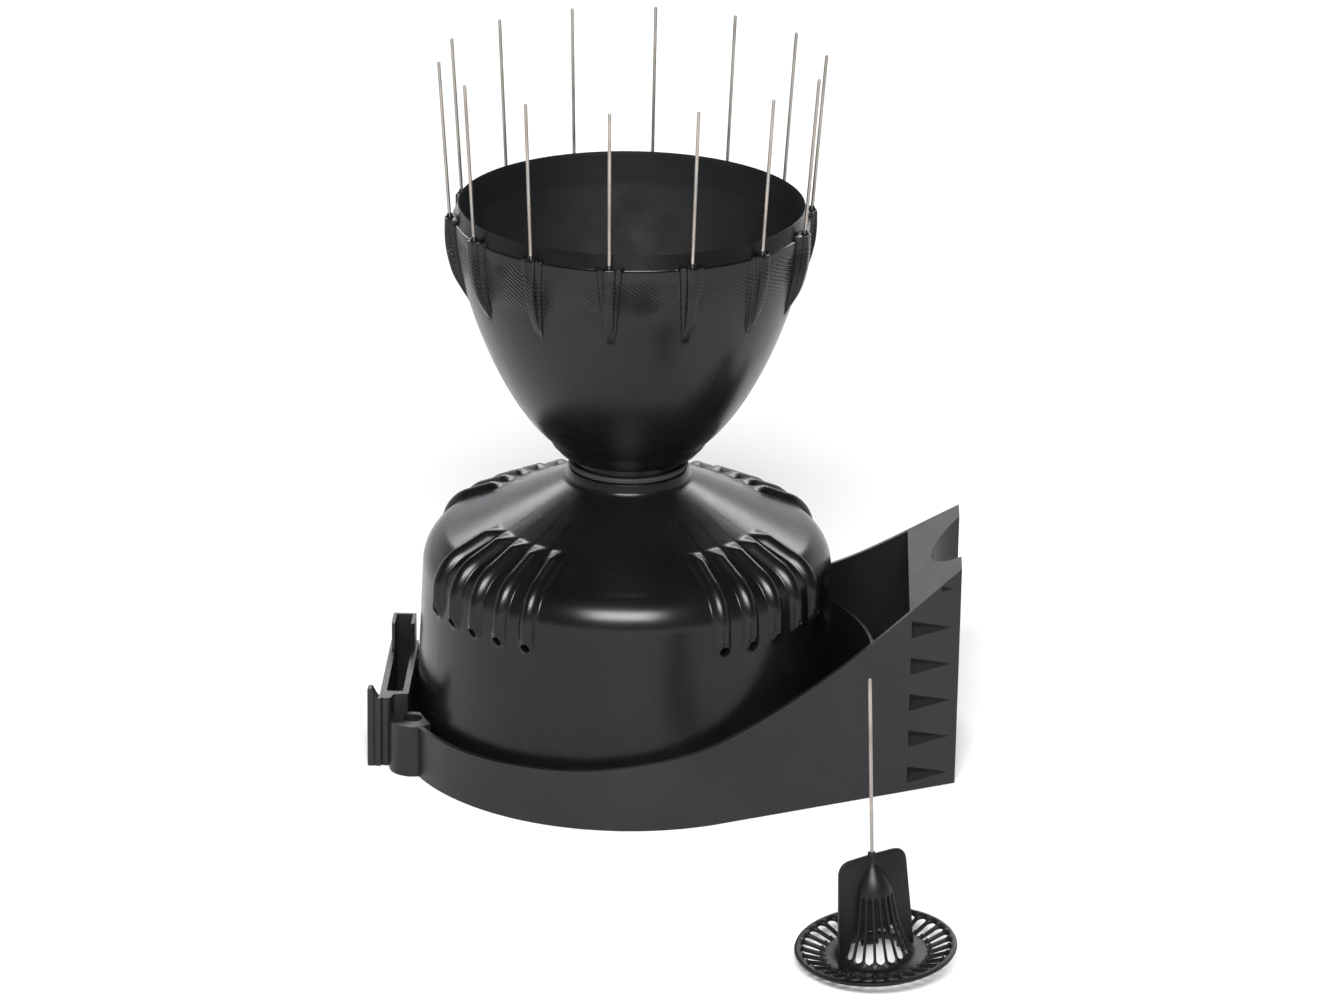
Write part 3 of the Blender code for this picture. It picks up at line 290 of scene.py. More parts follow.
def hatched_plastic(name, colours, rough, grain, specular):
    """The bowl's plastic: matt inside, and with faint slanting tool marks outside below the rim."""
    material = moulded_plastic(name, colours, rough, grain, specular)
    tree = material.node_tree
    shader = tree.nodes["Principled BSDF"]
    gloss, under = (shader.inputs[socket].links[0].from_socket for socket in ("Roughness", "Normal"))
    where = new_node(tree, "TexCoord").outputs["Object"]
    turn = new_node(tree, "Mapping", Vector=where, Rotation=(0.0, radians(-38), 0.0))
    marks = new_node(tree, "TexWave", Vector=turn.outputs["Vector"], Scale=190.0, Distortion=1.2)
    marks.bands_direction = "Z"
    height = new_node(tree, "SeparateXYZ", Vector=where).outputs["Z"]
    above = spread_range(tree, height, 0.0, 1.0, 0.240, 0.254)
    below = spread_range(tree, height, 1.0, 0.0, 0.262, 0.268)
    patch = spread_range(tree, object_noise(tree, 30.0, 2.0), 0.3, 1.0, 0.40, 0.60)
    outside = outer_side(tree, where)
    belt = product(tree, above, below, patch, outside, marks.outputs["Fac"])
    matt = spread_range(tree, outside, 2.7, 1.0, 0.0, 1.0)
    fill_in(tree, shader, Roughness=product(tree, gloss, matt), Normal=bumped(tree, belt, 1.0, 0.0005, under))
    return material


def drawn_metal(name, colours, rough, along=(1.0, 1.0, 0.04)):
    """Drawn or rolled metal with fine streaks along one axis."""
    material, tree, shader = principled(name, Metallic=1.0)
    streak = object_noise(tree, 1500.0, 3.0, along)
    fill_in(
        tree, shader,
        Base_Color=ramp(tree, object_noise(tree, 55.0, 4.0), *colours, 0.35, 0.65),
        Roughness=spread_range(tree, streak, *rough),
        Normal=bumped(tree, streak, 0.25, 0.00003))
    return material


def clear_glass(name):
    """Clear glass with the faint waviness of drawn tube."""
    material, tree, shader = principled(name, Transmission_Weight=1.0, IOR=1.5)
    fill_in(
        tree, shader,
        Base_Color=ramp(tree, object_noise(tree, 60.0), (0.80, 0.92, 0.86), (0.86, 0.96, 0.90)),
        Roughness=spread_range(tree, object_noise(tree, 200.0), 0.01, 0.05),
        Normal=bumped(tree, object_noise(tree, 120.0), 0.08, 0.0002))
    return material


BLACK = ((0.0030, 0.0030, 0.0034), (0.0055, 0.0054, 0.0060))
DARK_GREY = ((0.0070, 0.0070, 0.0080), (0.0110, 0.0108, 0.0124))
OFF_WHITE = ((0.46, 0.46, 0.43), (0.54, 0.54, 0.51))
SOOT = ((0.008, 0.008, 0.008), (0.016, 0.016, 0.015))
WARM_STEEL = ((0.27, 0.245, 0.225), (0.37, 0.34, 0.315))
COOL_STEEL = ((0.46, 0.45, 0.43), (0.60, 0.58, 0.55))
YELLOW_METAL = ((0.50, 0.34, 0.12), (0.64, 0.47, 0.20))

GLOSS_BLACK = moulded_plastic("gloss_black_plastic", BLACK, (0.23, 0.29), 0.05, 0.26)
BOWL_BLACK = hatched_plastic("bowl_black_plastic", BLACK, (0.23, 0.30), 0.05, 0.26)
SCREEN_BLACK = moulded_plastic("screen_black_plastic", BLACK, (0.38, 0.48), 0.10, 0.22)
CHARCOAL = moulded_plastic("charcoal_base_plastic", DARK_GREY, (0.34, 0.42), 0.14, 0.30)
WHITE = moulded_plastic("white_works_plastic", OFF_WHITE, (0.34, 0.44), 0.2)
RUBBER = moulded_plastic("black_rubber", SOOT, (0.62, 0.8), 0.6)
WIRE = drawn_metal("stainless_wire", WARM_STEEL, (0.36, 0.50))
SHEET_STEEL = drawn_metal("stainless_sheet", COOL_STEEL, (0.22, 0.38), (0.05, 1, 1))
BRASS = drawn_metal("turned_brass", YELLOW_METAL, (0.20, 0.34), (1, 1, 8))
GLASS = clear_glass("clear_glass")


# ---------- mesh tools

def new_object(name, bm, material):
    """Turn a bmesh in millimetres into an object in metres."""
    loose = [vert for vert in bm.verts if not vert.link_faces]
    bmesh.ops.delete(bm, geom=loose, context="VERTS")
    bmesh.ops.recalc_face_normals(bm, faces=bm.faces)
    bmesh.ops.scale(bm, vec=(MM, MM, MM), verts=bm.verts)
    mesh = bpy.data.meshes.new(name)
    bm.to_mesh(mesh)
    bm.free()
    mesh.materials.append(material)
    obj = bpy.data.objects.new(name, mesh)
    bpy.context.scene.collection.objects.link(obj)
    return obj


def bm_from(verts, faces, into=None):
    """Add listed faces to a bmesh."""
    bm = into or bmesh.new()
    made = [bm.verts.new(point) for point in verts]
    for face in faces:
        bm.faces.new([made[index] for index in face])
    return bm


def add_piece(name, bm, material, body, nodes=(), angle=34.0):
    """Make a smooth piece and hang it on its body."""
    obj = new_object(name, bm, material)
    obj.data.shade_smooth()
    obj.data.set_sharp_from_angle(angle=radians(angle))
    mount(obj, body, nodes)


def mount(obj, body, nodes=()):
    """Say which body a piece rides on and what it replaces."""
    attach(obj, body)
    if nodes:
        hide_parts(*nodes)


def skin_faces(rings, around, closed=True):
    """Quads between rings of points; closed joins the last ring to the first."""
    faces = []
    for row in range(rings if closed else rings - 1):
        here = row * around
        there = (row + 1) % rings * around
        for col in range(around):
            step = (col + 1) % around
            faces.append((here + col, there + col, there + step, here + step))
    return faces


def closed_rings(rings, into=None):
    """A ring-shaped solid from rings of points, each ring joined to the next."""
    verts = [point for ring in rings for point in ring]
    return bm_from(verts, skin_faces(len(rings), len(rings[0])), into)


def capped_rings(rings, into=None):
    """A rod-like solid from rings of points, closed at both ends."""
    around = len(rings[0])
    verts = [point for ring in rings for point in ring]
    faces = skin_faces(len(rings), around, closed=False)
    faces.append(tuple(range(around)))
    faces.append(tuple(range(len(verts) - around, len(verts))))
    return bm_from(verts, faces, into)


def spaced(start, end, steps):
    """Evenly spaced values, both ends included."""
    return [start + (end - start) * step / steps for step in range(steps + 1)]


def polar(radius, angle, *height):
    """A point at a radius and an angle round the axis, at a height if one is given."""
    return (radius * cos(angle), radius * sin(angle), *height)


def arc(radius, start, end, steps, centre=(0.0, 0.0)):
    """Plan points along an arc, ends included."""
    return [
        (centre[0] + radius * cos(angle), centre[1] + radius * sin(angle))
        for angle in spaced(start, end, steps)]


def circle(radius, around, centre=(0.0, 0.0)):
    """Plan points of a circle."""
    return arc(radius, 0.0, tau, around, centre)[:-1]


def ring(radius, height, around, centre):
    """Points of a level circle."""
    return [(x, y, height) for x, y in circle(radius, around, centre)]


def rounded(outline, radius, steps=4, closed=True):
    """Round an outline's corners; radius is one number or one for each corner."""
    points = [Vector(point) for point in outline]
    count = len(points)
    result = []
    for index, corner in enumerate(points):
        size = radius[index] if isinstance(radius, (tuple, list)) else radius
        if size <= 0 or (not closed and index in (0, count - 1)):
            result.append(corner)
            continue
        back = points[index - 1] - corner
        ahead = points[(index + 1) % count] - corner
        bend = back.angle(ahead)
        reach = min(size / tan(bend / 2), 0.46 * back.length, 0.46 * ahead.length)
        start = corner + back.normalized() * reach
        end = corner + ahead.normalized() * reach
        for t in spaced(0.0, 1.0, steps):
            result.append(start * (1 - t) ** 2 + corner * 2 * t * (1 - t) + end * t ** 2)
    return result


def turned(profile, around, centre=(0.0, 0.0), into=None):
    """Revolve a closed (radius, height) loop."""
    return closed_rings([ring(*point, around, centre) for point in profile], into)


def slab(outline, low, high):
    """Extrude a plan outline; high may be a function of the plan point."""
    bottom = [(x, y, low) for x, y in outline]
    top = [(x, y, high(x, y) if callable(high) else high) for x, y in outline]
    return capped_rings([bottom, top])


def block(low, high):
    """A box between two corners, as a plan outline that is extruded."""
    outline = [(low[0], low[1]), (high[0], low[1]), (high[0], high[1]), (low[0], high[1])]
    return slab(outline, low[2], high[2])


def carve(obj, tools, operation="DIFFERENCE"):
    """Apply exact Booleans with a list of bmeshes, and keep the result as the mesh."""
    cutters = []
    for bm in tools:
        tool = new_object("cutter", bm, CHARCOAL)
        cutters.append(tool)
        mod = obj.modifiers.new("cut", "BOOLEAN")
        mod.operation = operation
        mod.solver = "EXACT"
        mod.object = tool
    bpy.context.view_layer.update()
    depsgraph = bpy.context.evaluated_depsgraph_get()
    mesh = bpy.data.meshes.new_from_object(obj.evaluated_get(depsgraph))
    obj.modifiers.clear()
    material = obj.data.materials[0]
    obj.data = mesh
    mesh.materials.clear()
    mesh.materials.append(material)
    for face in mesh.polygons:
        face.material_index = 0
    for tool in cutters:
        bpy.data.objects.remove(tool, do_unlink=True)


def finish_base(obj, width, node, skip=None):
    """Round a base piece's sharp edges, apart from those whose ends skip picks, and mount it."""
    bm = bmesh.new()
    bm.from_mesh(obj.data)
    bmesh.ops.remove_doubles(bm, verts=bm.verts, dist=0.01 * MM)
    bmesh.ops.dissolve_limit(bm, angle_limit=radians(0.6), verts=bm.verts, edges=bm.edges)
    weight = bm.edges.layers.float.new("bevel_weight_edge")
    for edge in bm.edges:
        sharp = len(edge.link_faces) == 2 and edge.calc_face_angle() > radians(32)
        kept = skip is not None and all(skip(vert.co / MM) for vert in edge.verts)
        edge[weight] = 1.0 if sharp and not kept else 0.0
        edge.smooth = not (sharp and kept)
    bm.to_mesh(obj.data)
    bm.free()
    obj.data.shade_smooth()
    mod = obj.modifiers.new("Rounded edges", "BEVEL")
    mod.limit_method = "WEIGHT"
    mod.width = width * MM
    mod.segments = 3
    mod.use_clamp_overlap = True
    mod.harden_normals = True
    mount(obj, "base", [node])


def blend_knots(knots, value):
    """A smooth curve through (x, y) knots, with central-difference slopes."""
    last = len(knots) - 1
    slopes = []
    for index in range(len(knots)):
        before = knots[max(index - 1, 0)]
        after = knots[min(index + 1, last)]
        slopes.append((after[1] - before[1]) / (after[0] - before[0]))
    index = 0
    while index < last - 1 and value > knots[index + 1][0]:
        index += 1
    (x0, y0), (x1, y1) = knots[index], knots[index + 1]
    span = x1 - x0
    t = (value - x0) / span
    return ((2 * t ** 3 - 3 * t ** 2 + 1) * y0 + (t ** 3 - 2 * t ** 2 + t) * span * slopes[index]
            + (3 * t ** 2 - 2 * t ** 3) * y1 + (t ** 3 - t ** 2) * span * slopes[index + 1])


def ease(value):
    """A smooth step from 0 to 1."""
    t = min(max(value, 0.0), 1.0)
    return t * t * (3 - 2 * t)


# ---------- base moulding

def sweep_height(x):
    """Height of the side walls' top edge."""
    return blend_knots(WALL_SWEEP, x)


def side_point(x, inset):
    """Y of the straight side wall's face at x, moved inward by inset."""
    return (TRAY_R - inset - x * sin(TAPER)) / cos(TAPER)


def tray_half(inset, arc_steps, straight_steps):
    """Half of the tray's plan outline on the +Y side, from the rail to the saddle."""
    radius = TRAY_R - inset
    points = arc(radius, pi - asin(RAIL_HALF / radius), pi / 2 - TAPER, arc_steps)
    run = spaced(points[-1][0], JOINT_X, straight_steps)[1:]
    return points + [(x, side_point(x, inset)) for x in run]


def ear_centre(side):
    """Plan centre of a screw ear."""
    return polar(EAR_REACH, side * EAR_ANGLE)


def build_side_wall(side, node):
    """A long side wall with its swept top edge and its screw ear."""
    sections = []
    for (ox, oy), (ix, iy) in zip(tray_half(0.0, 90, 40), tray_half(WALL, 90, 40)):
        top = sweep_height(ox)
        corners = ((ox, oy, 0.0), (ox, oy, top), (ix, iy, top), (ix, iy, 0.0))
        sections.append([(x, side * y, z) for x, y, z in corners])
    wall = new_object("side_" + node, capped_rings(sections), CHARCOAL)
    centre = ear_centre(side)
    ear = new_object("ear", slab(circle(EAR_R, 64, centre), 0.0, EAR_TOP), CHARCOAL)
    rail_side, past_axis = sorted((side * RAIL_HALF, -side * 20))
    beside_rail = block((-140, rail_side, -1), (-90, past_axis, 90))
    carve(ear, [slab(circle(DOME_CLEAR_R, 180), -1, 70), beside_rail])
    bm = bmesh.new()
    bm.from_mesh(ear.data)
    bmesh.ops.scale(bm, vec=(1 / MM, 1 / MM, 1 / MM), verts=bm.verts)
    bpy.data.objects.remove(ear, do_unlink=True)
    carve(wall, [bm], "UNION")
    carve(wall, [turned(EAR_HOLE, 40, centre)])
    finish_base(wall, 0.5, node, lambda p: p.x > SADDLE_X - 0.2)


def build_floor():
    """The tray's floor, with its drain, cable and ear openings."""
    half = tray_half(WALL - 0.1, 60, 1)
    outline = half + [(x, -y) for x, y in half[::-1]]
    floor = new_object("tray_floor", slab(outline, 0.0, FLOOR_T), CHARCOAL)
    tools = []
    for side in (-1, 1):
        tools.append(slab(circle(DRAIN_R, 48, (side * DRAIN_X, 0.0)), -1, 6))
        tools.append(slab(circle(EAR_R - 0.1, 48, ear_centre(side)), -1, 6))
    tools.append(slab(circle(GROMMET_R, 40, (0.0, GROMMET_Y)), -1, 6))
    tools.append(block((-140, -RAIL_HALF, -1), (RAIL_HIGH.x - 0.1, RAIL_HALF, 6)))
    carve(floor, tools)
    finish_base(floor, 0.25, "base_floor")


def build_bulkhead():
    """The curved partition between the round tray and the flange bay."""
    lean = pi / 2 - TAPER - acos((TRAY_R - WALL + 0.2) / BULKHEAD_R)
    inner_lean = lean + 0.004
    outline = arc(BULKHEAD_R, -lean, lean, 80) + arc(BULKHEAD_R - BULKHEAD_T, inner_lean, -inner_lean, 80)
    wall = new_object("bay_partition", slab(outline, FLOOR_T - 0.1, BULKHEAD_TOP), CHARCOAL)
    finish_base(wall, 0.35, "bay_bulkhead")


def hook_lip(start, end):
    """The rail's hooked end: a tall tab whose top dips in a curve to the rail's top."""
    sections = []
    for x in spaced(start, end, 24):
        from_start = min((x - start) / 1.2, 1.0)
        corner = 1.0 - sqrt(1.0 - (1.0 - from_start) ** 2)
        groove = 0.5 * exp(-((x - start - 3.6) / 0.4) ** 2)
        front = HOOK_FRONT + corner + groove
        back = HOOK_BACK - corner
        dip = ease((x - start - 1.9) / 3.6)
        top = HOOK_TOP - 1.2 * corner - (HOOK_TOP - RAIL_TOP) * dip
        sections.append([(x, front, 0.0), (x, back, 0.0), (x, back, top), (x, front, top)])
    return capped_rings(sections)


def build_rail():
    """Accessory rail: a slotted pair of plates with a curled hook and a tall post."""
    left, right = RAIL_LOW.x + 5.8, RAIL_HIGH.x
    near, far = -41.0, RAIL_HALF - 0.05
    slot_left, slot_right, slot_near = left + RAIL_PLATE, right - RAIL_PLATE, RAIL_PLATE - far
    outline = rounded(
        [(left, near + 0.6), (left + 5.6, near), (left + 6.6, -far - 1.2), (right, -far), (right, far),
         (left, far)], [2.6, 2.6, 1.6, 0.8, 0.5, 0.5])
    slot = rounded(
        [(slot_left, slot_near), (slot_right, slot_near), (slot_right, far + 3), (slot_left, far + 3)],
        [1.4, 1.4, 0, 0])
    post = rounded(
        [(left + 1.2, POST_NEAR), (right - 1.2, POST_NEAR), (right - 1.2, far), (left + 1.2, far)],
        [1.6, 1.6, 0.6, 0.6])
    rail = new_object("accessory_rail_moulding", slab(outline, 0.0, RAIL_TOP), CHARCOAL)
    carve(rail, [slab(slot, 8.0, 60.0)])
    carve(rail, [hook_lip(RAIL_LOW.x, left + 0.8), slab(post, 0.0, RAIL_HIGH.z)], "UNION")
    carve(rail, [block((slot_left, POST_NEAR - 2, 12), (slot_right, far - 1.7, 60))])
    finish_base(rail, 0.4, "accessory_rail")


def channel_arc(extra, steps):
    """Plan arc of the mast channel, grown by extra; it opens to +X."""
    radius = (CHANNEL_HALF ** 2 + CHANNEL_DEPTH ** 2) / (2 * CHANNEL_DEPTH)
    centre = (FLANGE_X + radius - CHANNEL_DEPTH, 0.0)
    reach = acos((centre[0] - FLANGE_X) / (radius + extra))
    return arc(radius + extra, pi + reach, pi - reach, steps, centre)


def tooth(side, middle, scale=1.0):
    """A wedge pocket in a cheek: deep at the tray side, vanishing at the flange."""
    along = Vector((cos(TAPER), -sin(TAPER), 0.0))
    outward = Vector((sin(TAPER), cos(TAPER), 0.0))
    lift = Vector((0.0, 0.0, 1.0))
    end = Vector((FLANGE_X, side_point(FLANGE_X, 0.0), 0.0)) + lift * (middle - 2.2 * scale) - along * 1.8
    length = scale * ((FLANGE_X - SADDLE_X - 1.2) / cos(TAPER) - 1.8)
    base = end - along * length + lift * 2.2 * scale
    half = lift * TOOTH_H * 0.55 * scale
    bm = bmesh.new()
    for corner in (base + outward + half, base + outward - half, base - outward * TOOTH_DEPTH * scale,
                   end + outward * 0.6):
        bm.verts.new((corner.x, side * corner.y, corner.z))
    bmesh.ops.convex_hull(bm, input=bm.verts)
    return bm


def build_saddle():
    """Mast saddle: cheeks with wedge pockets, round channel, bolt lands and sloping top."""
    near_x, far_x = SADDLE_X, FLANGE_X
    outline = [(x, side_point(x, 0)) for x in spaced(near_x, far_x, 12)]
    outline += [(x, -y) for x, y in outline[::-1]]
    saddle = new_object("mast_saddle_moulding", slab(outline, 0.0, 150.0), CHARCOAL)
    stations = [near_x - 2 + step for step in range(int(far_x - near_x) + 5)]
    above = []
    for y in (-130.0, 130.0):
        row = [(x, y, sweep_height(x)) for x in stations]
        above.append(row + [(stations[-1], y, 190.0), (stations[0], y, 190.0)])
    carve(saddle, [capped_rings(above)])
    back = far_x - LAND_T
    side_y, land_y = side_point(near_x, CHEEK_T), side_point(back, CHEEK_T)
    bay = [(near_x - 5, side_y), (near_x - 5, -side_y), (back, -land_y)]
    bay += [point for point in channel_arc(CHANNEL_WALL, 48) if point[0] < back - 0.1]
    bay.append((back, land_y))
    low_edge = sweep_height(near_x) - TOP_T
    slope = (sweep_height(far_x) - sweep_height(near_x)) / (far_x - near_x)
    hollow = slab(bay, FLOOR_T, lambda x, y: low_edge + slope * (x - near_x))
    mast = channel_arc(0.0, 60) + [(far_x + 5, CHANNEL_HALF), (far_x + 5, -CHANNEL_HALF)]
    tools = [hollow, slab(mast, -1.0, 150.0)]
    for side in (-1, 1):
        for height in BOLT_Z:
            hole = bmesh.new()
            place = Matrix.Translation((back, side * BOLT_Y, height)) @ Matrix.Rotation(pi / 2, 4, "Y")
            bmesh.ops.create_cone(
                hole, cap_ends=True, segments=32, radius1=BOLT_R, radius2=BOLT_R, depth=24, matrix=place)
            tools.append(hole)
        for index in range(TEETH):
            tools.append(tooth(side, 8.6 + index * TOOTH_PITCH))
        tools.append(tooth(side, 8.2 + TEETH * TOOTH_PITCH, 0.36))
    carve(saddle, tools)
    finish_base(saddle, 0.35, "mast_saddle", lambda p: p.x < near_x + 0.1)


# ---------- dome cover

def dome_stations():
    """(radius, height, outward share, upward share) down the dome's outer side, from the collar."""
    fillet_r = DOME_SHOULDER_R - DOME_FILLET
    cone_end_r = fillet_r + DOME_FILLET * sin(DOME_SLOPE)
    cone_z = COLLAR_FOOT_Z - (fillet_r - COLLAR_R) * tan(DOME_SLOPE)
    fillet_z = cone_z - DOME_FILLET / cos(DOME_SLOPE)
    cone_start = COLLAR_R + 1.4
    stations = []
    for share in spaced(0.0, 1.0, 60):
        radius = cone_start + (cone_end_r - cone_start) * (1 - (1 - share) ** 1.5)
        height = COLLAR_FOOT_Z - (radius - COLLAR_R) * tan(DOME_SLOPE)
        stations.append((radius, height, sin(DOME_SLOPE), cos(DOME_SLOPE)))
    for angle in spaced(pi / 2 - DOME_SLOPE, 0.0, 30)[1:]:
        out, up = polar(1.0, angle)
        stations.append((fillet_r + DOME_FILLET * out, fillet_z + DOME_FILLET * up, out, up))
    heights = [fillet_z - 0.55 * step for step in range(1, 32)]
    heights += [heights[-1] - 5.5 * step for step in range(1, 13)]
    heights = [z for z in heights if z > DOME_FOOT_Z + 1.5] + [DOME_FOOT_Z + 0.5]
    for z in heights:
        share = (z - DOME_FOOT_Z) / (fillet_z - DOME_FOOT_Z)
        stations.append((DOME_FOOT_R + (DOME_SHOULDER_R - DOME_FOOT_R) * share, z, 1.0, 0.0))
    return stations


def hood_lift(radius, height):
    """How far a hood stands up, and how wide it is, as shares of full."""
    along = height - HOOD_FOOT_Z
    if along < 12:
        rise = ease(along / 8.0) ** 0.8
        width = sqrt(max(0.0, 1 - (1 - min(max(along, 0.0) / 5.0, 1.0)) ** 2))
        return rise, max(width, 0.22)
    return min(max((radius - HOOD_HEAD_R) / HOOD_RAMP, 0.0), 1.0), 1.0


def vent_width(height):
    """Half width of the oval vent in a hood's foot, or nothing above and below it."""
    low, high = VENT_Z
    share = (2 * height - low - high) / (high - low)
    return VENT_HALF * sqrt(max(0.0, 1 - share * share)) if abs(share) < 1.6 else None


def dome_columns(radius, height):
    """(angle, lift) of every column of the dome's skin at one station."""
    rise, width = hood_lift(radius, height)
    hood = [(-across, lift) for across, lift in HOOD_COLUMNS[:0:-1]] + list(HOOD_COLUMNS)
    edge = hood[-1][0] * width * HOOD_HALF / radius
    oval = vent_width(height)
    vent_edge = HOOD_SPREAD[VENT_COLUMNS]
    columns = []
    for group, group_middle in enumerate(HOOD_GROUPS):
        to_next = (HOOD_GROUPS[(group + 1) % len(HOOD_GROUPS)] - group_middle) % tau
        for index in range(HOODS_IN_GROUP):
            middle = group_middle + (index - 2) * HOOD_STEP
            for across, lift in hood:
                offset = across * width * HOOD_HALF
                if oval is not None and abs(across) <= vent_edge:
                    offset = max(oval, 0.35) * across / vent_edge
                columns.append((middle + offset / radius, lift * rise))
            gap_steps, step_angle = HOOD_GAP_STEPS, HOOD_STEP
            if index == HOODS_IN_GROUP - 1:
                gap_steps, step_angle = GROUP_GAP_STEPS, to_next - (HOODS_IN_GROUP - 1) * HOOD_STEP
            between = spaced(middle + edge, middle + step_angle - edge, gap_steps)[1:-1]
            columns += [(angle, 0.0) for angle in between]
    return columns


def dome_vent(row_station, next_station, col):
    """Whether a cell of the dome's skin is part of a vent in a hood's foot."""
    middle = (row_station[1] + next_station[1]) / 2
    hood_cells = len(HOOD_COLUMNS) * 2 - 1
    pitch_cells = hood_cells + HOOD_GAP_STEPS - 1
    group_cells = HOODS_IN_GROUP * pitch_cells - HOOD_GAP_STEPS + GROUP_GAP_STEPS
    within = col % group_cells
    if within >= HOODS_IN_GROUP * pitch_cells:
        return False
    across = within % pitch_cells - hood_cells // 2
    return -VENT_COLUMNS <= across < VENT_COLUMNS and VENT_Z[0] < middle < VENT_Z[1]


def build_dome():
    """The ventilated dome with its collar and twenty louvre hoods."""
    stations = dome_stations()
    outer = []
    inner = []
    for radius, height, out, up in stations:
        columns = [(angle, lift * HOOD_H) for angle, lift in dome_columns(radius, height)]
        deep_r, deep_z = radius - out * DOME_WALL, height - up * DOME_WALL
        outer.append([polar(radius + out * lift, angle, height + up * lift) for angle, lift in columns])
        inner.append([polar(deep_r, angle, deep_z) for angle, _ in columns])
    plain = [angle for angle, _ in dome_columns(COLLAR_R, COLLAR_FOOT_Z)]

    def level(radius, height):
        return [polar(radius, angle, height) for angle in plain]

    bore, top, foot = COLLAR_BORE_R, COLLAR_TOP_Z, COLLAR_FOOT_Z
    under = foot - (bore - COLLAR_R) * tan(DOME_SLOPE) - DOME_WALL / cos(DOME_SLOPE)
    collar = [(bore, top - 0.5), (bore + 0.5, top), (COLLAR_R - 0.7, top), (COLLAR_R - 0.2, top - 0.2),
              (COLLAR_R, top - 0.7), (COLLAR_R, foot + 1.2), (COLLAR_R + 0.35, foot + 0.25)]
    bore_rings = [(bore, foot + rise) for rise in (4.2, 3.5, 2.5, 1.5, 0.0)]
    bore_rings += [(bore, under + 0.6), (bore + 0.6, under)]
    outer = [level(*point) for point in collar] + outer + [level(DOME_FOOT_R - 0.25, DOME_FOOT_Z)]
    inner = [level(*point) for point in bore_rings] + inner
    inner.append(level(DOME_FOOT_R - DOME_WALL + 0.25, DOME_FOOT_Z))

    def open_cell(row, col):
        spot = row - len(collar)
        return 0 <= spot < len(stations) - 1 and dome_vent(stations[spot], stations[spot + 1], col)

    skin = shell(outer, inner, open_cell)
    add_piece("dome_shell", skin, GLOSS_BLACK, "cover", ["dome_cover"], 38.0)


def shell(outer, inner, open_cell):
    """Two matching skins joined along every edge and opening."""
    rows, cols = len(outer), len(outer[0])
    below = rows * cols
    faces = []

    def solid(row, col):
        return 0 <= row < rows - 1 and not open_cell(row, col % cols)

    for row in range(rows - 1):
        for col in range(cols):
            if not solid(row, col):
                continue
            step = (col + 1) % cols
            corners = (row * cols + col, row * cols + step, (row + 1) * cols + step, (row + 1) * cols + col)
            faces.append(corners)
            faces.append(tuple(corner + below for corner in reversed(corners)))
            beside = ((row - 1, col), (row, col + 1), (row + 1, col), (row, col - 1))
            for edge, cell in enumerate(beside):
                if not solid(*cell):
                    a, b = corners[edge], corners[(edge + 1) % 4]
                    faces.append((b, a, a + below, b + below))
    verts = [point for row in outer + inner for point in row]
    return bm_from(verts, faces)


# ---------- collector bowl

def bowl_point(t):
    """A point of the bowl's outer curve, from the lip at 0 to the top at 1."""
    s = 1 - t
    low, high = BOWL_LIP + BOWL_LOW_HANDLE, BOWL_TOP - BOWL_HIGH_HANDLE
    return BOWL_LIP * s ** 3 + low * 3 * s * s * t + high * 3 * s * t * t + BOWL_TOP * t ** 3


def bowl_skin(steps):
    """The bowl's outer curve and its inner curve a wall's thickness inside it."""
    outer = [bowl_point(t) for t in spaced(0.0, 1.0, steps)]
    inner = []
    for index, point in enumerate(outer):
        run = (outer[min(index + 1, steps)] - outer[max(index - 1, 0)]).normalized()
        inner.append(point + Vector((-run.y, run.x)) * BOWL_WALL)
    return outer, inner


def boss_sizes(height):
    """(nose radius, nose half width, flange half width, flange lift) at a height."""
    share = min(max((height - BOSS_FOOT_Z) / (BOSS_TOP_Z - BOSS_FOOT_Z), 0.0), 1.0)
    flange = 0.7 + 5.2 * share ** 0.62
    half = 0.45 + 2.45 * share ** 0.5
    return blend_knots(BOSS_NOSE, height), half, flange, BOSS_LIFT * ease(share * 5)


def boss_columns(height):
    """(offset, nose share, flange share) across one side of a boss, from its middle."""
    _, half, flange, _ = boss_sizes(height)
    fine = min(1.0, (flange - half) / 3.0)
    nose_side = ((0.0, 0.0), (0.40, 0.0), (0.66, 0.015), (0.82, 0.07), (0.93, 0.20), (1.0, 0.48))
    nose_foot = ((0.12, 0.78), (0.45, 0.95), (0.95, 1.0))
    flange_edge = ((-1.0, 1.0), (-0.5, 0.88), (-0.15, 0.6), (0.05, 0.28), (0.4, 0.06), (0.9, 0.0), (1.8, 0.0))
    columns = [(part * half, 1.0 - low, low) for part, low in nose_side]
    columns += [(half + part * fine, 1.0 - low, low) for part, low in nose_foot]
    return columns + [(flange + part * fine, 0.0, low) for part, low in flange_edge]


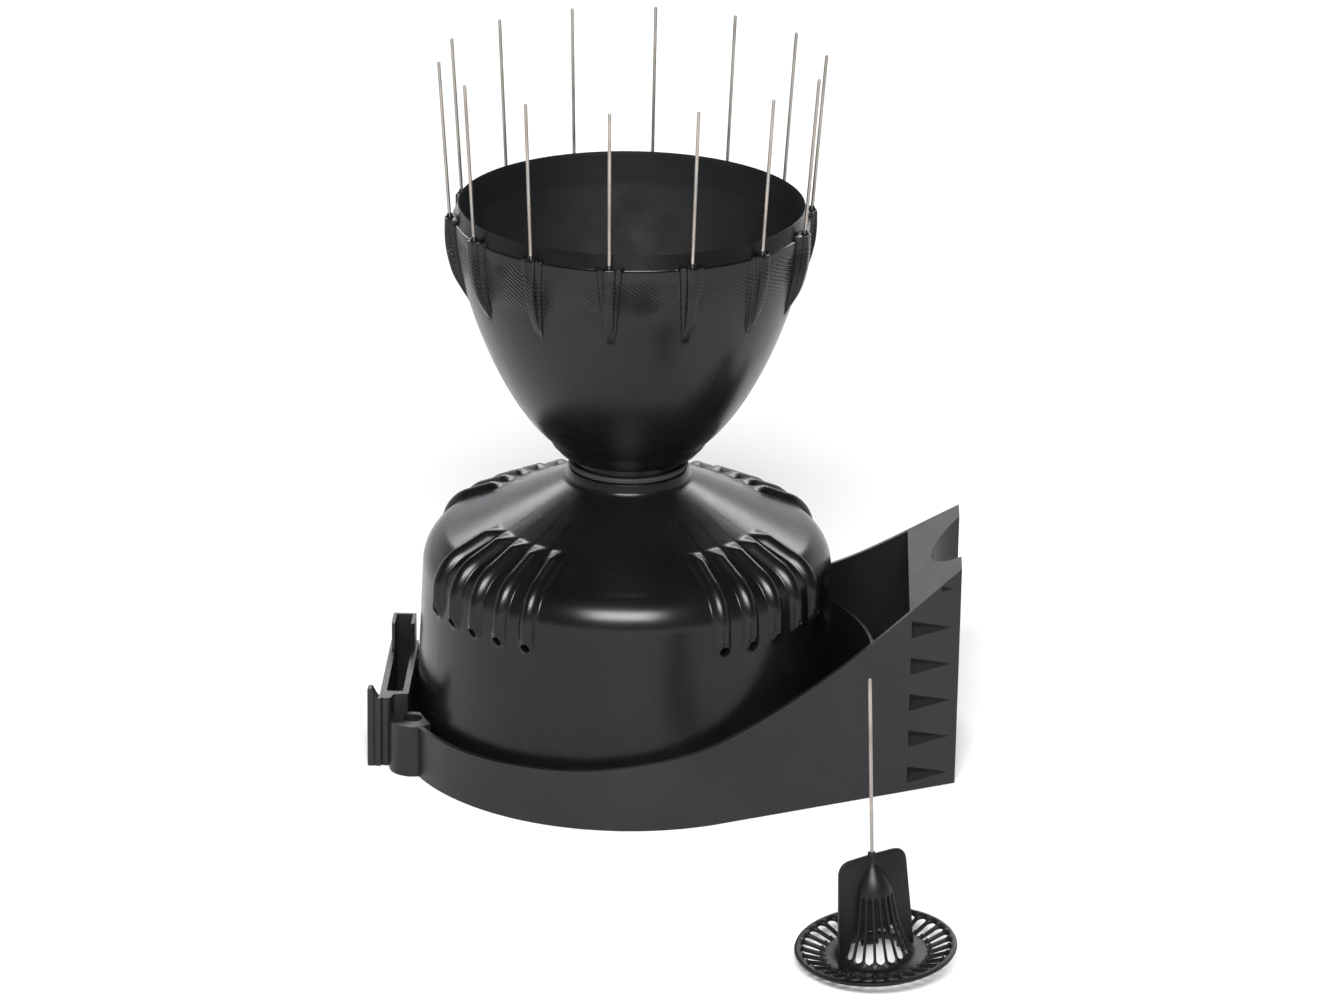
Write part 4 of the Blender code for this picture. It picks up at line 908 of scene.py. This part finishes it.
def bowl_ring(radius, height, raised=False):
    """One ring of the bowl's skin, with the bosses raised where asked."""
    level = min(max(height, BOSS_FOOT_Z), BOSS_TOP_Z)
    spread = boss_columns(level)
    nose, _, _, lift = boss_sizes(level)
    flange_r = (BOWL_TOP.x if height > BOWL_TOP.y else min(radius, BOWL_TOP.x)) + lift
    boss = [(-across, *shares) for across, *shares in spread[:0:-1]] + spread
    arm = max(radius, 60.0)
    edge = spread[-1][0] / arm
    points = []
    for middle in spaced(SPIKE_FIRST, SPIKE_FIRST + tau, SPIKES)[:-1]:
        for across, nose_share, flange_share in boss:
            proud = nose_share * (nose - radius) + flange_share * (flange_r - radius)
            spot = radius + (max(proud, 0.0) if raised else 0.0)
            points.append(polar(spot, middle + across / arm, height))
        between = spaced(middle + edge, middle + tau / SPIKES - edge, BOSS_GAP_STEPS)[1:-1]
        points += [polar(radius, turn, height) for turn in between]
    return points


def build_bowl():
    """The collector bowl: knife-edge rim, band, bosses and neck spigot."""
    outer, inner = bowl_skin(110)
    lip = [(ORIFICE_R + 0.12, RIM_Z), (ORIFICE_R + 0.3, RIM_Z - 0.12), (ORIFICE_R + 0.42, RIM_Z - 0.6)]
    top_r, top_z = lip[-1]

    def band_ring(height, raised):
        share = (top_z - height) / (top_z - BAND_FOOT_Z)
        return bowl_ring(top_r + (BAND_R - top_r) * share, height, raised)

    rings = [bowl_ring(*point) for point in lip]
    rings += [band_ring(height, False) for height in (276.0, 275.0, 274.0, 273.0, 272.4, 272.03)]
    for height, inset in ((BOSS_TOP_Z, 0.6), (271.9, 0.15), (271.6, 0.0), (271.1, 0.0), (270.75, 0.0)):
        rings.append([pull_in(point, inset) for point in band_ring(height, True)])
    for radius, drop in ((BAND_R + 0.1, 0.1), (BOWL_TOP.x - 0.45, 0.2), (BOWL_TOP.x - 0.1, 0.35)):
        rings.append(bowl_ring(radius, BAND_FOOT_Z - drop, True))
    for point in outer[::-1]:
        rings.append(bowl_ring(point.x, point.y - (0.5 if point.y > 269.9 else 0.0), point.y > 229.0))
    foot = rounded(
        [(BOWL_LIP.x, BOWL_LIP.y), (37.3, 157.0), (33.4, BOWL_FOOT_Z), (SPIGOT_R, BOWL_FOOT_Z),
         (SPIGOT_R, SPIGOT_FOOT_Z), (SPIGOT_BORE_R, SPIGOT_FOOT_Z), (SPIGOT_BORE_R, 155.5),
         (33.0, 158.5), (38.2, 163.4)], [0, 0.5, 0.6, 0.5, 0.4, 0.4, 0.8, 2.0, 0], closed=False)
    rings += [bowl_ring(*point) for point in foot[1:-1]]
    rings += [bowl_ring(*point) for point in inner if 163.0 < point.y < 262.0]
    for height in (264.0, 266.0, 268.0, 270.5, 273.0, 275.5, RIM_Z - 0.3):
        rings.append(bowl_ring(ORIFICE_R - (0.12 if height < 268 else 0.0), height))
    bowl = closed_rings(rings)
    add_piece("collector_bowl", bowl, BOWL_BLACK, "cover", ["collector_cone"], 40.0)


def pull_in(point, inset):
    """Chamfer the raised bosses' top: a point outside the band moves inward."""
    x, y, z = point
    radius = hypot(x, y)
    scale = (radius - inset) / radius if radius > BAND_R + 0.6 else 1.0
    return (x * scale, y * scale, z)


def wire(start, end):
    """A straight drawn spike with a softly rounded tip."""
    start, end = Vector(start), Vector(end)
    length = (end - start).length
    run = (end - start).normalized()
    side = run.orthogonal().normalized()
    other = run.cross(side)
    stations = [(0.0, 0.86), (0.12, 1.0)] + [(length * step / 12, 1.0) for step in range(1, 12)]
    tip = SPIKE_R * 0.9
    stations += [(length - tip + tip * sin(a), cos(a)) for a in (0.0, 0.35, 0.7, 1.0, 1.25, 1.45)]
    rings = []
    for along, size in stations:
        rings.append([start + run * along + side * x + other * y for x, y in circle(SPIKE_R * size, 20)])
    return capped_rings(rings)


def build_spikes():
    """Fourteen stainless bird spikes, each in a small socket on its boss."""
    foot_r, foot_z = SPIKE_FOOT
    socket_r = foot_r + (SPIKE_TIP_R - foot_r) * (BOSS_TOP_Z - foot_z) / (SPIKE_TIP_Z - foot_z)
    profile = rounded(
        [(0.82, 274.0), (1.15, 274.0), (1.5, 272.8), (2.2, 271.95), (2.0, 270.5), (0.82, 270.5)],
        [0.1, 0.2, 0.6, 0.1, 0, 0], 3)
    for index in range(SPIKES):
        angle = SPIKE_FIRST + index * tau / SPIKES
        node = "spike_%02d" % (index + 1)
        rod = wire(polar(foot_r, angle, foot_z), polar(SPIKE_TIP_R, angle, SPIKE_TIP_Z))
        add_piece("bird_" + node, rod, WIRE, "cover", [node])
        socket = turned(profile, 28, polar(socket_r, angle))
        add_piece("spike_socket_%02d" % (index + 1), socket, GLOSS_BLACK, "cover")


def build_neck():
    """Gasket ring in the neck, and the inner funnel that feeds the bucket."""
    low, high = cad_box("neck_gasket")
    bore = SPIGOT_R + 0.1
    loop = rounded([(high.x, high.z), (high.x, low.z), (bore, low.z), (bore, high.z)], 0.6)
    add_piece("neck_seal", turned(loop, 120), RUBBER, "cover", ["neck_gasket"])
    rim, rim_z = FUNNEL_HIGH.x, FUNNEL_HIGH.z
    loop = rounded(
        [(rim, rim_z), (rim, 134), (8, 112), (6, 108), (6, FUNNEL_LOW.z), (3.6, FUNNEL_LOW.z), (3.6, 111),
         (rim - 2.2, 136), (rim - 2.2, rim_z)], [0.7, 2.5, 2, 2, 0.6, 0.5, 5, 2.5, 0.7], 5)
    add_piece("drip_funnel", turned(loop, 120), GLOSS_BLACK, "cover", ["inner_funnel"])


# ---------- debris screen

def dish(radius):
    """Height of the dished disc's upper side."""
    return FLANGE_Z + (radius - FLANGE_R) * (RIM_TOP_Z - 0.2 - FLANGE_Z) / (SCREEN_R - RIM_W - FLANGE_R)


def screen_rows():
    """(outer point, inner point, kind) from the disc's rim in, and up the cone."""
    low, top, under = RIM_TOP_Z - SCREEN_T, RIM_TOP_Z, FLANGE_Z - SCREEN_T
    edge = ((0.0, low + 1.3, low + 0.9), (0.3, low + 1.95, low + 0.3), (1.0, top, low),
            (1.8, top - 0.05, low - 0.05))
    rows = [((SCREEN_R - inset, upper), (SCREEN_R - inset, lower), "rim") for inset, upper, lower in edge]
    for share in spaced(0.0, 1.0, 14):
        radius = SLOT_OUT + (SLOT_IN - SLOT_OUT) * (0.5 - 0.5 * cos(pi * share))
        rows.append(((radius, dish(radius)), (radius, dish(radius) - SCREEN_T), "disc"))
    flange = ((22.8, 0.12, 22.6, 0.05, "rim"), (22.0, 0.0, 21.6, 0.0, "rim"), (20.4, 0.0, 19.6, 0.0, "rim"),
              (18.4, 0.05, 17.2, 0.0, "rim"), (17.5, 0.4, 16.1, 0.3, "cap"), (16.9, 0.9, 15.3, 1.4, "cap"))
    for radius, rise, under_radius, under_rise, kind in flange:
        rows.append(((radius, FLANGE_Z + rise), (under_radius, under + under_rise), kind))
    start, end = CONE_SLOT_Z
    for share in spaced(0.0, 1.0, 26):
        height = start + (end - start) * (share - 0.05 * sin(tau * share))
        radius = blend_knots(CONE_SHAPE, height)
        rows.append(((radius, height), (radius - 1.5, height - 0.5), "cone"))
    for height in (36.4, 37.6, 39.0, 40.6, 42.2, 43.8, 45.2, 46.4, 47.4, 48.2):
        radius = blend_knots(CONE_SHAPE, height)
        rows.append(((radius, height), (max(radius - 1.5, 0.6), height - 1.0), "cap"))
    return rows


def slot_cells(kind):
    """(slots, cells in one slot's pitch, cells in half a rib) of the disc or the cone."""
    slots = CONE_SLOTS if kind in ("cone", "cap") else DISC_SLOTS
    cells = SCREEN_COLUMNS // slots
    return slots, cells, cells // 6


def screen_columns(kind, radius, end_distance):
    """(angle, share from rib middle to rib edge) of a ring's columns."""
    slots, cells, rib_cells = slot_cells(kind)
    rib, first = (CONE_RIB, VANE_ANGLE) if slots == CONE_SLOTS else (DISC_RIB, DISC_RIB_ANGLE)
    pitch = tau / slots
    open_half = (pitch * radius - min(rib, 0.46 * pitch * radius)) / 2
    if kind in ("cone", "disc") and end_distance < open_half:
        open_half *= sqrt(max(0.03, 1 - (1 - end_distance / open_half) ** 2))
    edge = pitch / 2 - open_half / radius
    turns = [(edge * step / rib_cells, step / rib_cells) for step in range(rib_cells)]
    turns += [(turn, 1.0) for turn in spaced(edge, pitch - edge, cells - 2 * rib_cells)]
    turns += [(pitch - turn, share) for turn, share in turns[rib_cells - 1:0:-1]]
    return [(first + slot * pitch + turn, share) for slot in range(slots) for turn, share in turns]


def screen_shell():
    """The slotted disc and cone as one shell with rounded ribs."""
    rows = screen_rows()
    kinds = [kind for _, _, kind in rows]
    outer = []
    inner = []
    for top, under, kind in rows:
        ends = [rows[kinds.index(kind)], rows[len(kinds) - 1 - kinds[::-1].index(kind)]]
        distance = min(dist(top, end[0]) for end in ends)
        columns = screen_columns(kind, top[0], distance)
        for skin, (radius, height), way in ((outer, top, -0.55), (inner, under, 0.55)):
            inward = way if kind == "cone" else 0.0
            downward = way if kind == "disc" else 0.0
            skin.append([
                polar(radius + inward * share ** 3, angle, height + downward * share ** 3)
                for angle, share in columns])

    def open_cell(row, col):
        kind = kinds[row]
        _, cells, rib_cells = slot_cells(kind)
        slotted = kind in ("cone", "disc") and kinds[min(row + 1, len(kinds) - 1)] == kind
        return slotted and rib_cells <= col % cells < cells - rib_cells

    return shell(outer, inner, open_cell)


def add_vane(bm):
    """The upright vane with round shoulders, notched inside the cone."""
    outline = rounded(
        [(-19.3, 3.4), (-16.9, 53.7), (-2.4, 54.0), (2.4, 54.0), (16.9, 53.7), (19.3, 3.4),
         (16.2, 3.4), (13.6, 16.0), (-13.6, 16.0), (-16.2, 3.4)],
        [0.5, 11.5, 0.5, 0.5, 11.5, 0.5, 0, 4, 4, 0], 10)
    centre = Vector((0.0, 30.0))
    turn = Matrix.Rotation(VANE_ANGLE, 3, "Z")
    sections = []
    for offset, inset in ((-0.8, 0.35), (-0.62, 0.1), (-0.3, 0.0), (0.3, 0.0), (0.62, 0.1), (0.8, 0.35)):
        section = []
        for point in outline:
            pulled = point + (centre - point).normalized() * inset
            section.append(turn @ Vector((pulled.x, offset, pulled.y)))
        sections.append(section)
    capped_rings(sections, bm)


def add_nubs(bm):
    """Small round nubs where the disc's ribs meet the flange and the rim."""
    steps = ((0.80, -0.6), (0.78, 0.05), (0.66, 0.40), (0.42, 0.62), (0.14, 0.72))
    for index in range(DISC_SLOTS):
        angle = DISC_RIB_ANGLE + tau * index / DISC_SLOTS
        for reach, size in ((24.7, 1.0), (33.0, 0.8)):
            spot, base = polar(reach, angle), dish(reach)
            capped_rings([ring(radius * size, base + rise * size, 12, spot) for radius, rise in steps], bm)


def add_feet(bm):
    """Six snap feet with a small barb, under the flange."""
    section = ((15.7, 2.7), (15.7, 0.3), (16.0, 0.0), (16.9, 0.0), (17.5, 0.9), (16.9, 1.5), (16.9, 2.7))
    for index in range(6):
        middle = 40 + 60 * index
        angles = [radians(angle) for angle in spaced(middle - 14, middle + 14, 8)]
        capped_rings([[polar(radius, angle, z) for radius, z in section] for angle in angles], bm)


def build_screen():
    """The debris screen on its snap feet: slotted dish and cone, a vane, a knob and a wire."""
    bm = screen_shell()
    knob = rounded(
        [(0.05, 55.2), (1.8, 55.2), (1.8, 53.2), (1.3, 52.4), (1.3, 49.6), (2.5, 47.4), (0.05, 47.0)],
        [0, 0.8, 0.4, 0.4, 1.0, 0.3, 0], 4)
    turned(knob, 40, into=bm)
    add_vane(bm)
    add_nubs(bm)
    add_feet(bm)
    for vert in bm.verts:
        vert.co = SCREEN_TILT @ vert.co + SCREEN_PLACE
    add_piece(
        "loose_debris_screen", bm, SCREEN_BLACK, "screen", ["debris_screen"], 38.0)
    ends = [SCREEN_TILT @ point + SCREEN_PLACE for point in SCREEN_WIRE]
    add_piece("screen_wire", wire(*ends), WIRE, "screen", ["screen_spike"])


# ---------- carried-over CAD nodes

def dress(node, material, width=None):
    """Give a CAD node its material, and soft edges where asked."""
    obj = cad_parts[node]
    obj.data.materials.clear()
    obj.data.materials.append(material)
    obj.data.shade_smooth()
    if width:
        mod = obj.modifiers.new("Soft edges", "BEVEL")
        mod.limit_method = "ANGLE"
        mod.angle_limit = radians(40)
        mod.width = width * MM
        mod.segments = 2
        mod.harden_normals = True
    else:
        obj.data.set_sharp_from_angle(angle=radians(34))


# (material, width of the soft edges in millimetres, CAD nodes)
WORKS = (
    (CHARCOAL, 0.3, ("bayonet_catch_1", "bayonet_catch_2", "bayonet_catch_3")),
    (WHITE, 0.3, ("pivot_bracket_near", "pivot_bracket_far", "stop_post_left", "stop_post_right")),
    (WHITE, 0.25, ("level_cup", "tipping_bucket")),
    (SHEET_STEEL, None, ("bracket_screw_near", "bracket_screw_far")),
    (SHEET_STEEL, 0.15, ("drain_screen_left", "drain_screen_right", "bucket_magnet", "pivot_axle")),
    (BRASS, None, ("adjust_screw_left", "adjust_screw_right")),
    (GLOSS_BLACK, 0.4, ("sensor_housing",)),
    (RUBBER, 0.3, ("cable_grommet",)),
    (GLASS, None, ("level_vial", "reed_switch")),
)


# ---------- studio

def photo_camera():
    """A long lens at the photograph's viewing angle."""
    pitch, roll, yaw = CAMERA_ANGLES
    ahead = Vector((sin(yaw) * cos(pitch), cos(yaw) * cos(pitch), -sin(pitch)))
    level = Vector((cos(yaw), -sin(yaw), 0.0))
    raised = level.cross(ahead)
    across = cos(roll) * level + sin(roll) * raised
    upward = cos(roll) * raised - sin(roll) * level
    data = bpy.data.cameras.new("photo_camera")
    data.sensor_width = 36.0
    data.lens = CAMERA_LENS
    data.clip_end = 20.0
    camera = bpy.data.objects.new("photo_camera", data)
    bpy.context.scene.collection.objects.link(camera)
    turn = Matrix((across, upward, -ahead)).transposed().to_4x4()
    camera.matrix_world = Matrix.Translation(CAMERA_PLACE) @ turn
    bpy.context.scene.camera = camera


def softbox(name, place, aim, size, watts):
    """A white rectangular area light that faces a point; lengths in metres."""
    data = bpy.data.lights.new(name, "AREA")
    data.shape = "RECTANGLE"
    data.size, data.size_y = size
    data.energy = watts
    lamp = bpy.data.objects.new(name, data)
    bpy.context.scene.collection.objects.link(lamp)
    lamp.location = place
    lamp.rotation_euler = (Vector(aim) - Vector(place)).to_track_quat("-Z", "Y").to_euler()


def build_world():
    """A white studio wall behind, a dim room in front and overhead."""
    world = bpy.data.worlds.new("studio")
    world.use_nodes = True
    tree = world.node_tree
    where = new_node(tree, "TexCoord").outputs["Generated"]
    split = new_node(tree, "SeparateXYZ", Vector=where).outputs
    low = spread_range(tree, split["Z"], 1.15, 0.03, 0.22, 0.46)
    behind = spread_range(tree, split["Y"], 0.10, 1.0, -0.45, 0.35)
    strength = product(tree, low, behind)
    fill_in(tree, tree.nodes["Background"], Strength=strength, Color=(0.90, 0.92, 0.96, 1.0))
    bpy.context.scene.world = world
    bpy.context.scene.view_settings.view_transform = "Standard"


def build_floor_stage():
    """A plain pale floor."""
    bm = bmesh.new()
    bmesh.ops.create_circle(bm, cap_ends=True, segments=96, radius=FLOOR_R / MM)
    bmesh.ops.translate(bm, vec=(0, 0, -FLOOR_DROP / MM), verts=bm.verts)
    material, tree, shader = principled("pale_floor", Roughness=0.7, Specular_IOR_Level=0.2)
    tone = ramp(tree, object_noise(tree, 3.0), (0.90, 0.90, 0.90), (0.92, 0.92, 0.92))
    fill_in(tree, shader, Base_Color=tone)
    new_object("pale_floor", bm, material)


# ---------- the whole scene

build_side_wall(-1, "base_wall_near")
build_side_wall(1, "base_wall_far")
build_floor()
build_bulkhead()
build_rail()
build_saddle()
build_dome()
build_bowl()
build_spikes()
build_neck()
build_screen()
for finish, edge_width, works_nodes in WORKS:
    for works_node in works_nodes:
        dress(works_node, finish, edge_width)
photo_camera()
build_world()
build_floor_stage()
softbox("front_softbox", (0.0, -2.12, 1.66), (0, 0, 0.1), (1.5, 0.95), 140)
softbox("back_softbox", (0.0, 2.6, 1.7), (0, 1.3, 0.0), (3.2, 0.7), 70)
